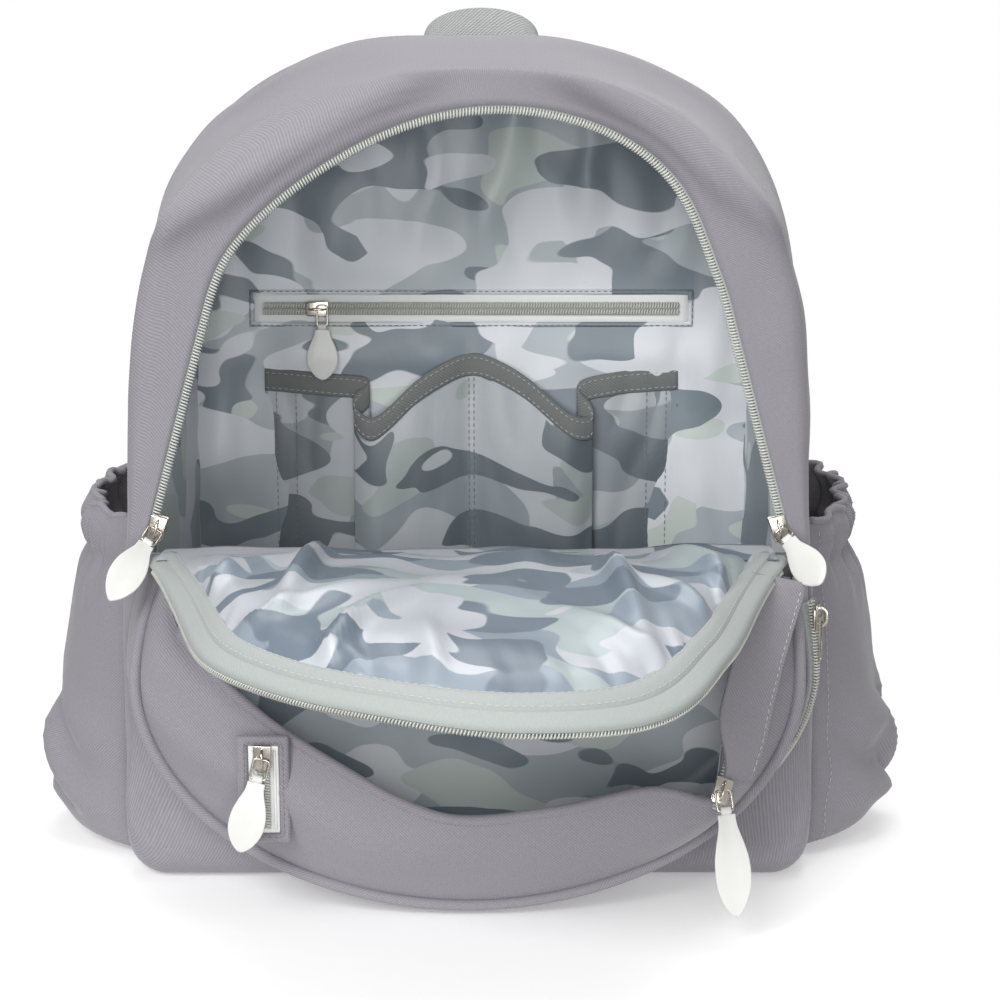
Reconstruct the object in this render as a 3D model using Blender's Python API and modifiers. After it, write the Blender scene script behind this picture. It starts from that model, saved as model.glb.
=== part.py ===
"""Diaper backpack, standing open: arch-zipped main compartment with its flap folded forward.

Metres, +Z up. The origin is on the floor under the middle of the base, the front faces -Y.
The sewn shell, its linings and pockets stay still. The flap, the zip sliders with their
pulls, the grab handle and the shoulder straps move.
"""

import math

import bmesh
import bpy
from mathutils import Euler, Matrix, Vector

# ---- main compartment ----
BAG_HALF_WIDTH = 0.155
BAG_HEIGHT = 0.374
SHOULDER_Z = 0.184  # where the straight sides turn into the rounded top
BASE_CORNER = 0.034
TOP_ROUNDNESS = 2.8  # exponent of the top's superellipse
FRONT_Y = -0.078
GUSSET_BACK_Y = 0.066
CLOTH = 0.0015
LINING = 0.0008
SEAM_GAP = 0.0018
CORNER_SEAM_GAP = 0.0044  # seams along the bag's front edges, where the cloth turns
LAYER_GAP = 0.0004
LINING_INSET = 0.0032
BACK_CLOTH = 0.0025
BACK_FOAM = 0.0062

# ---- arch opening ----
HINGE_Z = 0.146
OPENING_HALF_WIDTH = 0.142
OPENING_HEIGHT = 0.195
SIDE_LEAN = math.radians(15)
OPENING_CORNER = 0.004

# ---- zip chain ----
COIL_R = 0.0012
CHAIN_HALF = 0.0019  # chain centre line to each coil's centre line
TAPE = 0.001
ARCH_TAPE_WIDTH = 0.0042
FLAP_TAPE_WIDTH = 0.006
TAPE_Y = 0.0018  # front face to the tape's front
CHAIN_Y = FRONT_Y + 0.0008
CLEARANCE = 0.0003

# ---- flap ----
FLAP_REST = math.radians(98)  # from closed, upright, to folded forward
FLAP_HINGE_Y = -0.080
FLAP_FOOT = 0.003
FLAP_COIL_FOOT = 0.020
FLAP_BINDING_WIDTH = 0.0085

# ---- sliders and pulls ----
SLIDER_HALF_WIDTH = 0.0035
SLIDER_LENGTH = 0.011
SLIDER_PLATE = 0.0011
SLIDER_GAP = 0.0017  # chain plane to the inside of a plate
SLIDER_WEB = 0.0008
CROWN_HALF = 0.0035
CROWN_RISE = 0.0034
CROWN_BAR = 0.0011
CROWN_WIDTH = 0.0016
RING_WIRE_R = 0.0005
RING_HALF_WIDTH = 0.0033
RING_LENGTH = 0.0084
SLEEVE_R = 0.0017
SLEEVE_BORE_R = 0.0009
SLEEVE_HALF = 0.0019
LEAF_LENGTH = 0.040
LEAF_HALF_WIDTH = 0.0075
LEAF_THICKNESS = 0.0016
MAIN_SLIDER_RUN = 0.012  # slider centre above the opening's foot, along the chain
MAIN_LEAF_LENGTH = 0.034

# ---- front pocket ----
POCKET_HALF_WIDTH = 0.141
POCKET_MID_Z = 0.100
POCKET_BOTTOM_Z = 0.004
POCKET_TOP_Z = 0.132
POCKET_ROUNDNESS = 1.95
PIPING_R = 0.002
PIPING_Y_BOTTOM = -0.127
PIPING_Y_SIDE = -0.108
POCKET_BULGE = 0.009
GUSSET_FLARE = 0.009  # the gusset is this much wider at the wall, each side
HEM_R = 0.0022
POCKET_SCALE = POCKET_HALF_WIDTH / 0.141  # the mouth, strip and window are drawn for this half width
LIP = (  # the mouth's sagging lower edge, left end to right end
    (-0.131, -0.106, 0.132),
    (-0.120, -0.116, 0.113),
    (-0.096, -0.131, 0.096),
    (-0.062, -0.148, 0.076),
    (-0.012, -0.160, 0.053),
    (0.034, -0.160, 0.055),
    (0.076, -0.154, 0.062),
    (0.103, -0.146, 0.056),
    (0.115, -0.133, 0.080),
    (0.125, -0.118, 0.107),
    (0.131, -0.107, 0.132),
)
STRIP_FOOT = Vector((0.114 * POCKET_SCALE, -0.153, 0.058))
STRIP_HEAD = Vector((0.1405 * POCKET_SCALE, -0.1155, 0.138))
STRIP_HALF_WIDTH = 0.006
WINDOW_X = -0.0835 * POCKET_SCALE
WINDOW_Z = (0.042, 0.080)
WINDOW_HALF_WIDTH = 0.0065
SIDE_ZIP_HALF_WIDTH = 0.007
SIDE_ZIP_Y = -0.094

# ---- side pockets ----
SIDE_POCKET_Y = (-0.046, 0.056)
SIDE_POCKET_Z = (0.036, 0.166)
SIDE_POCKET_BULGE = 0.037
ELASTIC_R = 0.0014

# ---- inside the main compartment ----
INNER_ZIP_Z = 0.240
INNER_ZIP_HALF_LENGTH = 0.105
INNER_TAPE_HALF_WIDTH = 0.0075
INNER_SLIDER_X = -0.074
INNER_LEAF_LENGTH = 0.0213
SLIP_HALF_WIDTH = 0.100
SLIP_Z = (0.060, 0.206)
SLIP_DEPTH = 0.0125
BASE_BOARD = (0.112, 0.044, 0.003)  # half width, half depth, thickness

# ---- carrying ----
WEBBING = 0.0016
HANDLE_HALF_SPAN = 0.028
HANDLE_RISE = 0.0145
HANDLE_HALF_WIDTH = (0.004, 0.0115)  # at its sewn ends, and along its top
HANDLE_Y = 0.052
HANDLE_LIFT = 0.0024
STRAP_HALF_WIDTH = 0.030
STRAP_THICKNESS = 0.010
STRAP_PATH = (  # right strap's centre line, top to bottom
    (0.040, 0.0752, 0.350),
    (0.043, 0.094, 0.315),
    (0.050, 0.106, 0.265),
    (0.062, 0.111, 0.205),
    (0.075, 0.107, 0.150),
    (0.086, 0.098, 0.108),
)
STRAP_WEB_HALF_WIDTH = 0.0115
STRAP_WEB_PATH = (
    (0.0885, 0.0955, 0.094),
    (0.096, 0.086, 0.064),
    (0.110, 0.075, 0.038),
    (0.121, 0.0704, 0.020),
)
LADDER = (0.018, 0.013, 0.0035)  # half width, half height, thickness

GREY = (0.36, 0.35, 0.38)
CAMO = (0.42, 0.46, 0.48)
TAPE_GREY = (0.70, 0.72, 0.69)
WHITE = (0.88, 0.88, 0.85)
WEB_GREY = (0.62, 0.63, 0.64)
METAL = (0.62, 0.58, 0.52)
BOARD = (0.20, 0.20, 0.21)
FOAM = (0.55, 0.55, 0.55)

# steps along the right half of an outline: base, base corner, lower side, side of the
# opening, top
BASE_STEPS = 4
CORNER_STEPS = 3
LOWER_STEPS = 3
SIDE_STEPS = 4
TOP_STEPS = 10
CORNER_AT = BASE_STEPS + CORNER_STEPS
SIDE_AT = CORNER_AT + LOWER_STEPS
TOP_AT = SIDE_AT + SIDE_STEPS
SIDE_FOOT_Z = 0.138  # heights on the bag's outline opposite the ends of the opening's leg
SIDE_HEAD_Z = 0.246

# rows of the shell from the opening's rim to the back seam: share of the way from the
# opening's outline to the bag's outline, and Y
SHELL_ROWS = (
    (0.00, FRONT_Y),
    (0.50, FRONT_Y + 0.0003),
    (0.80, FRONT_Y + 0.004),
    (0.95, FRONT_Y + 0.013),
    (1.00, FRONT_Y + 0.030),
    (1.00, -0.010),
    (1.00, 0.030),
    (1.00, GUSSET_BACK_Y),
)
FRONT_WALL_ROWS = 2


# ------------------------------------------------------------------ scene set-up

for old in list(bpy.data.objects):
    bpy.data.objects.remove(old, do_unlink=True)

bag = bpy.data.collections.new("diaper_backpack")
bpy.context.scene.collection.children.link(bag)
helpers = bpy.data.collections.new("helpers")
bpy.context.scene.collection.children.link(helpers)


def material(name, colour, roughness, metallic=0.0):
    made = bpy.data.materials.new(name)
    made.use_nodes = True
    shader = made.node_tree.nodes["Principled BSDF"]
    shader.inputs["Base Color"].default_value = (*colour, 1)
    shader.inputs["Roughness"].default_value = roughness
    shader.inputs["Metallic"].default_value = metallic
    return made


canvas = material("grey_canvas", GREY, 0.85)
camo = material("camo_lining", CAMO, 0.45)
tape_cloth = material("zip_tape", TAPE_GREY, 0.8)
coil_plastic = material("zip_coil", WHITE, 0.45)
leaf_white = material("white_pull", WHITE, 0.5)
webbing = material("webbing", WEB_GREY, 0.5)
zinc = material("slider_metal", METAL, 0.3, 0.9)
board = material("board_plastic", BOARD, 0.6)
foam = material("foam", FOAM, 0.95)
rubber = material("elastic", BOARD, 0.8)


# ------------------------------------------------------------------ shape helpers


def add_object(name, data, paint, parent=None, group=bag):
    made = bpy.data.objects.new(name, data)
    group.objects.link(made)
    data.materials.append(paint)
    made.parent = parent
    return made


def empty_at(name, location, turn=(0, 0, 0), parent=None):
    made = bpy.data.objects.new(name, None)
    bag.objects.link(made)
    made.location = location
    made.rotation_euler = Euler(turn)
    made.parent = parent
    return made


def smoothed(obj, degrees=35):
    obj.data.shade_smooth()
    obj.data.set_sharp_from_angle(angle=math.radians(degrees))
    return obj


def sheet(name, rows, thickness, paint, parent=None, offset=-1.0, notch=(0, 0)):
    """A sewn sheet through rows of points, given its thickness by Solidify.
    offset 1 thickens along the sheet's normal, which is (along a row) x (from row to row).
    notch is a corner left out: this many columns from one end of the first few rows, counted
    from the far end when negative."""
    across, along = len(rows[0]) - 1, len(rows) - 1
    mesh = bmesh.new()
    bmesh.ops.create_grid(mesh, x_segments=across, y_segments=along, size=1.0)
    spare = []
    for face in mesh.faces:
        middle = face.calc_center_median()
        i, j = (middle.x + 1) / 2 * across, (middle.y + 1) / 2 * along
        outside = i < notch[0] or (notch[0] < 0 and i > across + notch[0])
        if outside and j < notch[1]:
            spare.append(face)
    bmesh.ops.delete(mesh, geom=spare, context="FACES")
    for vertex in mesh.verts:
        i = round((vertex.co.x + 1) / 2 * across)
        j = round((vertex.co.y + 1) / 2 * along)
        vertex.co = rows[j][i]
    data = bpy.data.meshes.new(name)
    mesh.to_mesh(data)
    mesh.free()
    made = add_object(name, data, paint, parent)
    solidify = made.modifiers.new("thickness", "SOLIDIFY")
    solidify.thickness = thickness
    solidify.offset = offset
    solidify.use_even_offset = True
    return smoothed(made)


def band(name, rows, thickness, paint, parent=None, offset=-1.0):
    """As sheet, on closed rows: the last column meets the first and is welded to it."""
    made = sheet(name, [[*row, row[0]] for row in rows], thickness, paint, parent, offset)
    mesh = bmesh.new()
    mesh.from_mesh(made.data)
    bmesh.ops.remove_doubles(mesh, verts=mesh.verts, dist=1e-5)
    mesh.to_mesh(made.data)
    mesh.free()
    return made


def tube(name, points, radius, paint, parent=None, resolution=1, cyclic=False):
    curve = bpy.data.curves.new(name, "CURVE")
    curve.dimensions = "3D"
    curve.bevel_depth = radius
    curve.bevel_resolution = resolution
    curve.use_fill_caps = True
    spline = curve.splines.new("POLY")
    spline.points.add(len(points) - 1)
    for point, place in zip(spline.points, points):
        point.co = (*place, 1)
    spline.use_cyclic_u = cyclic
    return add_object(name, curve, paint, parent)


def plate(name, outline, thickness, paint, parent=None, location=(0, 0, 0), holes=(), turn=(math.pi / 2, 0, 0)):
    """A flat outline with a thickness, standing in the XZ plane unless turned otherwise."""
    curve = bpy.data.curves.new(name, "CURVE")
    curve.dimensions = "2D"
    curve.fill_mode = "BOTH"
    curve.extrude = thickness / 2
    for loop in (outline, *holes):
        spline = curve.splines.new("POLY")
        spline.points.add(len(loop) - 1)
        for point, (x, y) in zip(spline.points, loop):
            point.co = (x, y, 0, 1)
        spline.use_cyclic_u = True
    made = add_object(name, curve, paint, parent)
    made.location = location
    made.rotation_euler = turn
    return made


def as_mesh(obj, weld=1e-5):
    """The evaluated curve as a welded mesh object in its place."""
    bpy.context.view_layer.update()
    evaluated = obj.evaluated_get(bpy.context.evaluated_depsgraph_get())
    data = bpy.data.meshes.new_from_object(evaluated)
    mesh = bmesh.new()
    mesh.from_mesh(data)
    bmesh.ops.remove_doubles(mesh, verts=mesh.verts, dist=weld)
    mesh.to_mesh(data)
    mesh.free()
    name, parent, local, groups = obj.name, obj.parent, obj.matrix_local.copy(), obj.users_collection
    bpy.data.objects.remove(obj, do_unlink=True)
    made = bpy.data.objects.new(name, data)
    groups[0].objects.link(made)
    made.parent = parent
    made.matrix_local = local
    return made


def joined(base, helper, operation="UNION"):
    """Joins or cuts base with helper, which becomes a hidden guide."""
    for group in helper.users_collection:
        group.objects.unlink(helper)
    helpers.objects.link(helper)
    helper.hide_render = True
    helper.display_type = "WIRE"
    boolean = base.modifiers.new(helper.name, "BOOLEAN")
    boolean.operation = operation
    boolean.object = helper
    return base


def lerp(a, b, share):
    return a + (b - a) * share


def smooth_path(points, steps):
    """A Catmull-Rom curve through the points, sampled evenly by index."""
    places = [Vector(p) for p in points]
    ends = [places[0] * 2 - places[1], *places, places[-1] * 2 - places[-2]]
    found = []
    for k in range(steps + 1):
        at = k / steps * (len(places) - 1)
        i = min(int(at), len(places) - 2)
        t = at - i
        a, b, c, d = ends[i : i + 4]
        found.append(
            0.5 * (2 * b + (c - a) * t + (2 * a - 5 * b + 4 * c - d) * t**2 + (3 * b - a - 3 * c + d) * t**3)
        )
    return found


def pulled_in(rows, first=SEAM_GAP, last=SEAM_GAP):
    """Moves the edges of a grid of points inwards, which leaves a seam's width between sheets.
    first and last are the gaps at the first and last rows."""
    rows = [list(row) for row in rows]
    rows[0] = [p + (q - p).normalized() * first / 2 for p, q in zip(rows[0], rows[1])]
    rows[-1] = [p + (q - p).normalized() * last / 2 for p, q in zip(rows[-1], rows[-2])]
    for row in rows:
        row[0] = row[0] + (row[1] - row[0]).normalized() * SEAM_GAP / 2
        row[-1] = row[-1] + (row[-2] - row[-1]).normalized() * SEAM_GAP / 2
    return rows


# ------------------------------------------------------------------ outlines

ARCH_R = (OPENING_HALF_WIDTH * math.cos(SIDE_LEAN) - OPENING_HEIGHT * math.sin(SIDE_LEAN)) / (1 - math.sin(SIDE_LEAN))
ARCH_Z = HINGE_Z + OPENING_HEIGHT - ARCH_R


def opening_side_x(z, inset):
    """Half width of the opening's leaning side at a height."""
    return ((ARCH_R - inset) + (ARCH_Z - z) * math.sin(SIDE_LEAN)) / math.cos(SIDE_LEAN)


def opening_arch(inset, foot_z, side_steps=SIDE_STEPS, top_steps=TOP_STEPS):
    """Right half of the arch, from its foot up the leaning side and round to the top centre, as (x, z)."""
    radius = ARCH_R - inset
    start = (opening_side_x(foot_z, inset), foot_z)
    tangent = (radius * math.cos(SIDE_LEAN), ARCH_Z + radius * math.sin(SIDE_LEAN))
    side = [(lerp(start[0], tangent[0], k / side_steps), lerp(start[1], tangent[1], k / side_steps)) for k in range(side_steps)]
    turn = math.pi / 2 - SIDE_LEAN
    top = [
        (radius * math.cos(SIDE_LEAN + turn * k / top_steps), ARCH_Z + radius * math.sin(SIDE_LEAN + turn * k / top_steps))
        for k in range(top_steps + 1)
    ]
    return side + top


def opening_half(inset=0.0):
    """Right half of the whole opening, from the middle of its foot to its top centre."""
    foot_z = HINGE_Z + inset
    width = opening_side_x(foot_z, inset)
    straight = BASE_STEPS + CORNER_STEPS
    bottom = [(width * 0.97 * k / straight, foot_z) for k in range(straight)]
    turn = [
        (lerp(width * 0.97, width, k / LOWER_STEPS), foot_z + OPENING_CORNER * (k / LOWER_STEPS) ** 2)
        for k in range(LOWER_STEPS)
    ]
    return bottom + turn + opening_arch(inset, foot_z + OPENING_CORNER)


def bag_half(inset=0.0, floor=0.0):
    """Right half of the bag's outline, from the middle of the base to the top centre."""
    width, top, corner = BAG_HALF_WIDTH - inset, BAG_HEIGHT - inset, BASE_CORNER - inset
    rise = top - SHOULDER_Z
    bottom = [((width - corner) * k / BASE_STEPS, floor) for k in range(BASE_STEPS)]
    turn = [
        (width - corner + corner * math.sin(a), floor + corner * (1 - math.cos(a)))
        for a in (math.pi / 2 * k / CORNER_STEPS for k in range(CORNER_STEPS))
    ]
    heights = [lerp(floor + corner, SIDE_FOOT_Z, k / LOWER_STEPS) for k in range(LOWER_STEPS)]
    heights += [lerp(SIDE_FOOT_Z, SIDE_HEAD_Z, k / SIDE_STEPS) for k in range(SIDE_STEPS)]
    side = [
        (width * (1 - max(0.0, (z - SHOULDER_Z) / rise) ** TOP_ROUNDNESS) ** (1 / TOP_ROUNDNESS), z)
        for z in heights
    ]
    first = math.asin(((SIDE_HEAD_Z - SHOULDER_Z) / rise) ** (TOP_ROUNDNESS / 2))
    turns = [lerp(first, math.pi / 2, k / TOP_STEPS) for k in range(TOP_STEPS)]
    crown = [
        (width * math.cos(a) ** (2 / TOP_ROUNDNESS), SHOULDER_Z + rise * math.sin(a) ** (2 / TOP_ROUNDNESS))
        for a in turns
    ]
    return bottom + turn + side + crown + [(0.0, top)]


def whole(half):
    """A closed outline from its right half, starting at the bottom centre."""
    return half + [(-x, z) for x, z in half[-2:0:-1]]


def shell_rows(inset=0.0, floor=0.0):
    """Closed rows of the bag's surface, moved inwards by inset."""
    inner, outer = whole(opening_half()), whole(bag_half(inset, floor))
    rows = []
    for share, y in SHELL_ROWS:
        depth = y + inset * 1.25 if share < 0.9 else y + inset * 0.5
        rows.append([Vector((lerp(a[0], b[0], share), depth, lerp(a[1], b[1], share))) for a, b in zip(inner, outer)])
    return rows


def lining_back_y():
    """Front face of the lining on the back wall."""
    return GUSSET_BACK_Y - BACK_FOAM - LAYER_GAP * 2 - LINING


def span(rows, first, last):
    """Columns first to last of closed rows; a negative index wraps round the bottom centre."""
    count = len(rows[0])
    return [[row[i % count] for i in range(first, last + 1)] for row in rows]


# ------------------------------------------------------------------ main compartment


def build_shell():
    rows = shell_rows()
    count = len(rows[0])
    cut = FRONT_WALL_ROWS
    wall = pulled_in(span(rows[: cut + 1], -SIDE_AT, SIDE_AT), last=CORNER_SEAM_GAP)
    base = pulled_in(span(rows[cut:], -CORNER_AT, CORNER_AT), first=CORNER_SEAM_GAP)
    sheet("front_wall", wall, CLOTH, canvas, offset=1.0)
    sheet("base_panel", base, CLOTH, canvas, offset=1.0)
    sides = (
        ("side_panel_r", span(rows, CORNER_AT, TOP_AT), LOWER_STEPS),
        ("side_panel_l", span(rows, count - TOP_AT, count - CORNER_AT), -LOWER_STEPS),
    )
    for name, grid, notch in sides:
        grid = pulled_in(grid)
        shift_seam(grid, cut, notch)
        sheet(name, grid, CLOTH, canvas, offset=1.0, notch=(notch, cut))
    sheet("top_band", pulled_in(span(rows, TOP_AT, count - TOP_AT)), CLOTH, canvas, offset=1.0)


def shift_seam(grid, row, columns):
    """Moves the notch's two edges off the front wall by a seam's width."""
    near = range(columns) if columns > 0 else range(len(grid[0]) + columns, len(grid[0]))
    for i in near:
        grid[row][i] = grid[row][i] + (grid[row + 1][i] - grid[row][i]).normalized() * CORNER_SEAM_GAP / 2
    edge, inward = (columns, 1) if columns > 0 else (len(grid[0]) - 1 + columns, -1)
    for j in range(row + 1):
        step = grid[j][edge + inward] - grid[j][edge]
        grid[j][edge] = grid[j][edge] + step.normalized() * SEAM_GAP / 2


def build_back():
    cloth_y = GUSSET_BACK_Y + LAYER_GAP + BACK_CLOTH / 2
    plate("back_panel", whole(bag_half()), BACK_CLOTH, canvas, location=(0, cloth_y, 0))
    foam_y = GUSSET_BACK_Y - BACK_FOAM / 2 - CLEARANCE / 2
    inset = CLOTH + LAYER_GAP * 2
    plate("back_foam", whole(bag_half(inset, inset)), BACK_FOAM, foam, location=(0, foam_y, 0))
    lining_y = lining_back_y() + LINING / 2
    plate("lining_back", whole(bag_half(inset, inset)), LINING, camo, location=(0, lining_y, 0))


def build_lining():
    rows = shell_rows(LINING_INSET, LINING_INSET)
    rows[-1] = [Vector((p.x, lining_back_y() - LAYER_GAP, p.z)) for p in rows[-1]]
    band("lining_band", rows, LINING, camo, offset=1.0)


def build_base_board():
    half_width, half_depth, thickness = BASE_BOARD
    bottom = LINING_INSET + LINING + LAYER_GAP
    outline = rounded_box(half_width, half_depth, 0.012)
    plate("base_board", outline, thickness, board, location=(0, 0.008, bottom + thickness / 2), turn=(0, 0, 0))


def rounded_box(half_x, half_y, radius, steps=3):
    corners = ((1, 1, 0), (-1, 1, 90), (-1, -1, 180), (1, -1, 270))
    return [
        (
            sx * (half_x - radius) + radius * math.cos(math.radians(start + 90 * k / steps)),
            sy * (half_y - radius) + radius * math.sin(math.radians(start + 90 * k / steps)),
        )
        for sx, sy, start in corners
        for k in range(steps + 1)
    ]


def arch_strip(name, outer_inset, inner_inset, foot, y, thickness, paint, parent=None, at=(0, 0, 0)):
    """A flat band that follows the arch between two insets, both legs and the crown."""
    place = Vector(at)
    edges = []
    for inset in (outer_inset, inner_inset):
        half = opening_arch(inset, HINGE_Z + foot)
        whole_arch = half + [(-x, z) for x, z in half[-2::-1]]
        edges.append([Vector((x, y, z)) - place for x, z in whole_arch])
    return sheet(name, edges, thickness, paint, parent, offset=0.0)


def arch_tube(name, inset, foot, parent=None, at=(0, 0, 0)):
    place = Vector(at)
    half = opening_arch(inset, HINGE_Z + foot, 3, 12)
    path = half + [(-x, z) for x, z in half[-2::-1]]
    return tube(name, [Vector((x, CHAIN_Y, z)) - place for x, z in path], COIL_R, coil_plastic, parent)


def build_arch_zip():
    arch_strip("arch_zip_tape", -ARCH_TAPE_WIDTH, 0.0, OPENING_CORNER + 0.004, FRONT_Y + TAPE_Y + TAPE / 2, TAPE, tape_cloth)
    arch_tube("arch_zip_coil", CHAIN_HALF, 0.003)


# ------------------------------------------------------------------ flap


def build_flap():
    """The flap is drawn closed, upright in the opening, and hung on an empty that folds it forward."""
    axis = Vector((0, FLAP_HINGE_Y, HINGE_Z))
    hinge = empty_at("flap_hinge", axis, (FLAP_REST, 0, 0))
    coil = CHAIN_HALF * 3
    tape_edge = coil + COIL_R + CLEARANCE * 2
    panel_edge = tape_edge + FLAP_TAPE_WIDTH
    cloth_y = CHAIN_Y - 0.0008
    binding_y = CHAIN_Y + 0.0009
    arch_tube("flap_coil", coil, FLAP_COIL_FOOT, hinge, axis)
    arch_strip("flap_tape", tape_edge, panel_edge - CLEARANCE, FLAP_COIL_FOOT, CHAIN_Y, TAPE, tape_cloth, hinge, axis)
    arch_strip(
        "flap_binding", panel_edge, panel_edge + FLAP_BINDING_WIDTH, FLAP_FOOT, binding_y, 0.0012, tape_cloth, hinge, axis
    )
    for name, inset, y, thickness, paint in (
        ("flap_panel", panel_edge, cloth_y, CLOTH, canvas),
        ("flap_lining", panel_edge + FLAP_BINDING_WIDTH + CLEARANCE, binding_y, 0.001, camo),
    ):
        half = opening_arch(inset, HINGE_Z + FLAP_FOOT)
        outline = half + [(-x, z) for x, z in half[-2::-1]]
        local = [(x, z - axis.z) for x, z in outline]
        plate(name, local, thickness, paint, hinge, location=(0, y - axis.y, 0))


# ------------------------------------------------------------------ sliders and pulls


def slider_section(through):
    """Cross-section of a slider over the chain, as (across, towards the front). A through slider
    has a plate on both sides and a web between the coils; a cap slider straddles a coil that
    lies on its tape."""
    w, near, far = SLIDER_HALF_WIDTH, SLIDER_GAP, SLIDER_GAP + SLIDER_PLATE
    web = SLIDER_WEB / 2
    if through:
        root = near * 0.94
        right = [(w, far), (w, near), (web, root), (web, -root), (w, -near), (w, -far)]
    else:
        right = [(w, far), (w, -near * 0.35), (w - 0.0009, -near * 0.35), (w - 0.0009, near)]
    return right + [(-x, y) for x, y in reversed(right)]


def build_slider(name, parent, through=False):
    """Slider body. In its own frame the chain runs along Z and the front is -Y."""
    body = plate(name, slider_section(through), SLIDER_LENGTH, zinc, parent, turn=(math.pi, 0, 0))
    body = as_mesh(body)
    top = SLIDER_GAP + SLIDER_PLATE
    outer = [(CROWN_HALF, top - 0.0004), (CROWN_HALF, top + CROWN_RISE * 0.6), (CROWN_HALF * 0.55, top + CROWN_RISE)]
    inset = CROWN_BAR
    inner = [
        (CROWN_HALF - inset, top - 0.0004),
        (CROWN_HALF - inset, top + CROWN_RISE * 0.5),
        (CROWN_HALF * 0.5, top + CROWN_RISE - inset),
    ]
    arch = outer + [(-z, y) for z, y in reversed(outer)] + [(-z, y) for z, y in inner] + list(reversed(inner))
    crown = plate(name + "_crown", arch, CROWN_WIDTH, zinc, parent, turn=(math.pi / 2, 0, -math.pi / 2))
    crown.rotation_euler = Matrix(((0, 0, 1), (0, -1, 0), (1, 0, 0))).to_euler()
    crown = as_mesh(crown)
    return joined(body, crown)


def pull_pivot_y():
    """The ring's bar lies between the slider's plate and its crown, this far in front of the chain."""
    return -(SLIDER_GAP + SLIDER_PLATE + CLEARANCE * 1.2 + RING_WIRE_R)


def leaf_outline(length, half_width, neck):
    """Half widths down a leaf: a narrow neck, its belly past the middle, and a blunt point."""
    shape = ((0.0, 0.25), (0.12, 0.34), (0.35, 0.72), (0.58, 1.0), (0.78, 0.86), (0.92, 0.48), (0.98, 0.2))
    right = [(half_width * w, -(neck + length * t)) for t, w in shape]
    return right + [(0, -(neck + length))] + [(-x, z) for x, z in reversed(right)]


def build_pull(prefix, slider_empty, swing, sideways=0.0, length=LEAF_LENGTH, droop=0.0):
    """A wire ring through the slider's crown and a leaf-shaped pull on the ring. swing turns it
    from hanging along the chain to pointing out of the front, sideways leans it across the chain
    and droop lets the leaf hang back from the ring."""
    pivot = empty_at(prefix + "_pivot", (0, pull_pivot_y(), 0), (-swing, sideways, 0), slider_empty)
    w, low = RING_HALF_WIDTH, RING_LENGTH
    loop = [(w, 0, 0), (w, 0, -low), (0, 0, -low), (-w, 0, -low), (-w, 0, 0), (0, 0, 0)]
    tube(prefix + "_ring", loop, RING_WIRE_R, zinc, pivot, cyclic=True)
    hang = empty_at(prefix + "_hang", (0, 0, -low), (droop, 0, 0), pivot)
    build_leaf(prefix, hang, length)


def build_leaf(prefix, hang, length):
    blade = as_mesh(plate(prefix + "_leaf", leaf_outline(length, LEAF_HALF_WIDTH, SLEEVE_R * 0.8), LEAF_THICKNESS, leaf_white, hang))
    circle = [(math.cos(math.radians(30 * k)), math.sin(math.radians(30 * k))) for k in range(12)]
    outer = [(SLEEVE_R * x, SLEEVE_R * y) for x, y in circle]
    bore = [(SLEEVE_BORE_R * x, SLEEVE_BORE_R * y) for x, y in circle]
    sleeve = plate(
        prefix + "_sleeve", outer, SLEEVE_HALF * 2, leaf_white, hang, holes=(bore,), turn=(math.pi / 2, 0, math.pi / 2)
    )
    joined(blade, as_mesh(sleeve))


def build_main_sliders():
    """One slider on each leg of the arch, at the foot, where the flap's half leaves the chain."""
    inset = CHAIN_HALF * 2
    z = HINGE_Z + MAIN_SLIDER_RUN * math.cos(SIDE_LEAN)
    x = opening_side_x(z, inset)
    for side, mirror, swing, lean in (("r", 1, 62, -25), ("l", -1, 48, 18)):
        slider = empty_at(f"main_slider_{side}_at", (mirror * x, CHAIN_Y, z), (0, -mirror * SIDE_LEAN, 0))
        build_slider(f"main_slider_{side}", slider, through=True)
        build_pull(f"main_pull_{side}", slider, math.radians(swing), math.radians(lean), MAIN_LEAF_LENGTH)


# ------------------------------------------------------------------ inside


def build_inner_zip():
    face = lining_back_y()
    tape_y = face - CLEARANCE - TAPE / 2
    outline = rounded_box(INNER_ZIP_HALF_LENGTH, INNER_TAPE_HALF_WIDTH, 0.003, 2)
    plate("inner_zip_tape", outline, TAPE, tape_cloth, location=(0, tape_y, INNER_ZIP_Z))
    coil_y = tape_y - TAPE / 2 - CLEARANCE - COIL_R
    reach = INNER_ZIP_HALF_LENGTH - 0.004
    tube("inner_zip_coil", [Vector((-reach, coil_y, INNER_ZIP_Z)), Vector((reach, coil_y, INNER_ZIP_Z))], COIL_R, coil_plastic)
    slider = empty_at("inner_slider_at", (INNER_SLIDER_X, coil_y, INNER_ZIP_Z), (0, math.pi / 2, 0))
    build_slider("inner_slider", slider)
    build_side_link(coil_y)


def build_side_link(coil_y):
    """The inner slider's chain runs level, so its link goes round one foot of the crown and the
    pull hangs across the chain."""
    top, outer = 0.0019, 0.0049
    pivot = empty_at("inner_pull_pivot", (INNER_SLIDER_X, coil_y + pull_pivot_y(), INNER_ZIP_Z + top))
    low = -RING_LENGTH - top
    middle = outer / 2
    loop = [(0, 0, 0), (outer, 0, 0), (outer, 0, low), (middle, 0, low), (0, 0, low)]
    tube("inner_pull_ring", loop, RING_WIRE_R, zinc, pivot, cyclic=True)
    hang = empty_at("inner_pull_hang", (middle, 0, low), (0, 0, 0), pivot)
    build_leaf("inner_pull", hang, INNER_LEAF_LENGTH)


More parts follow.
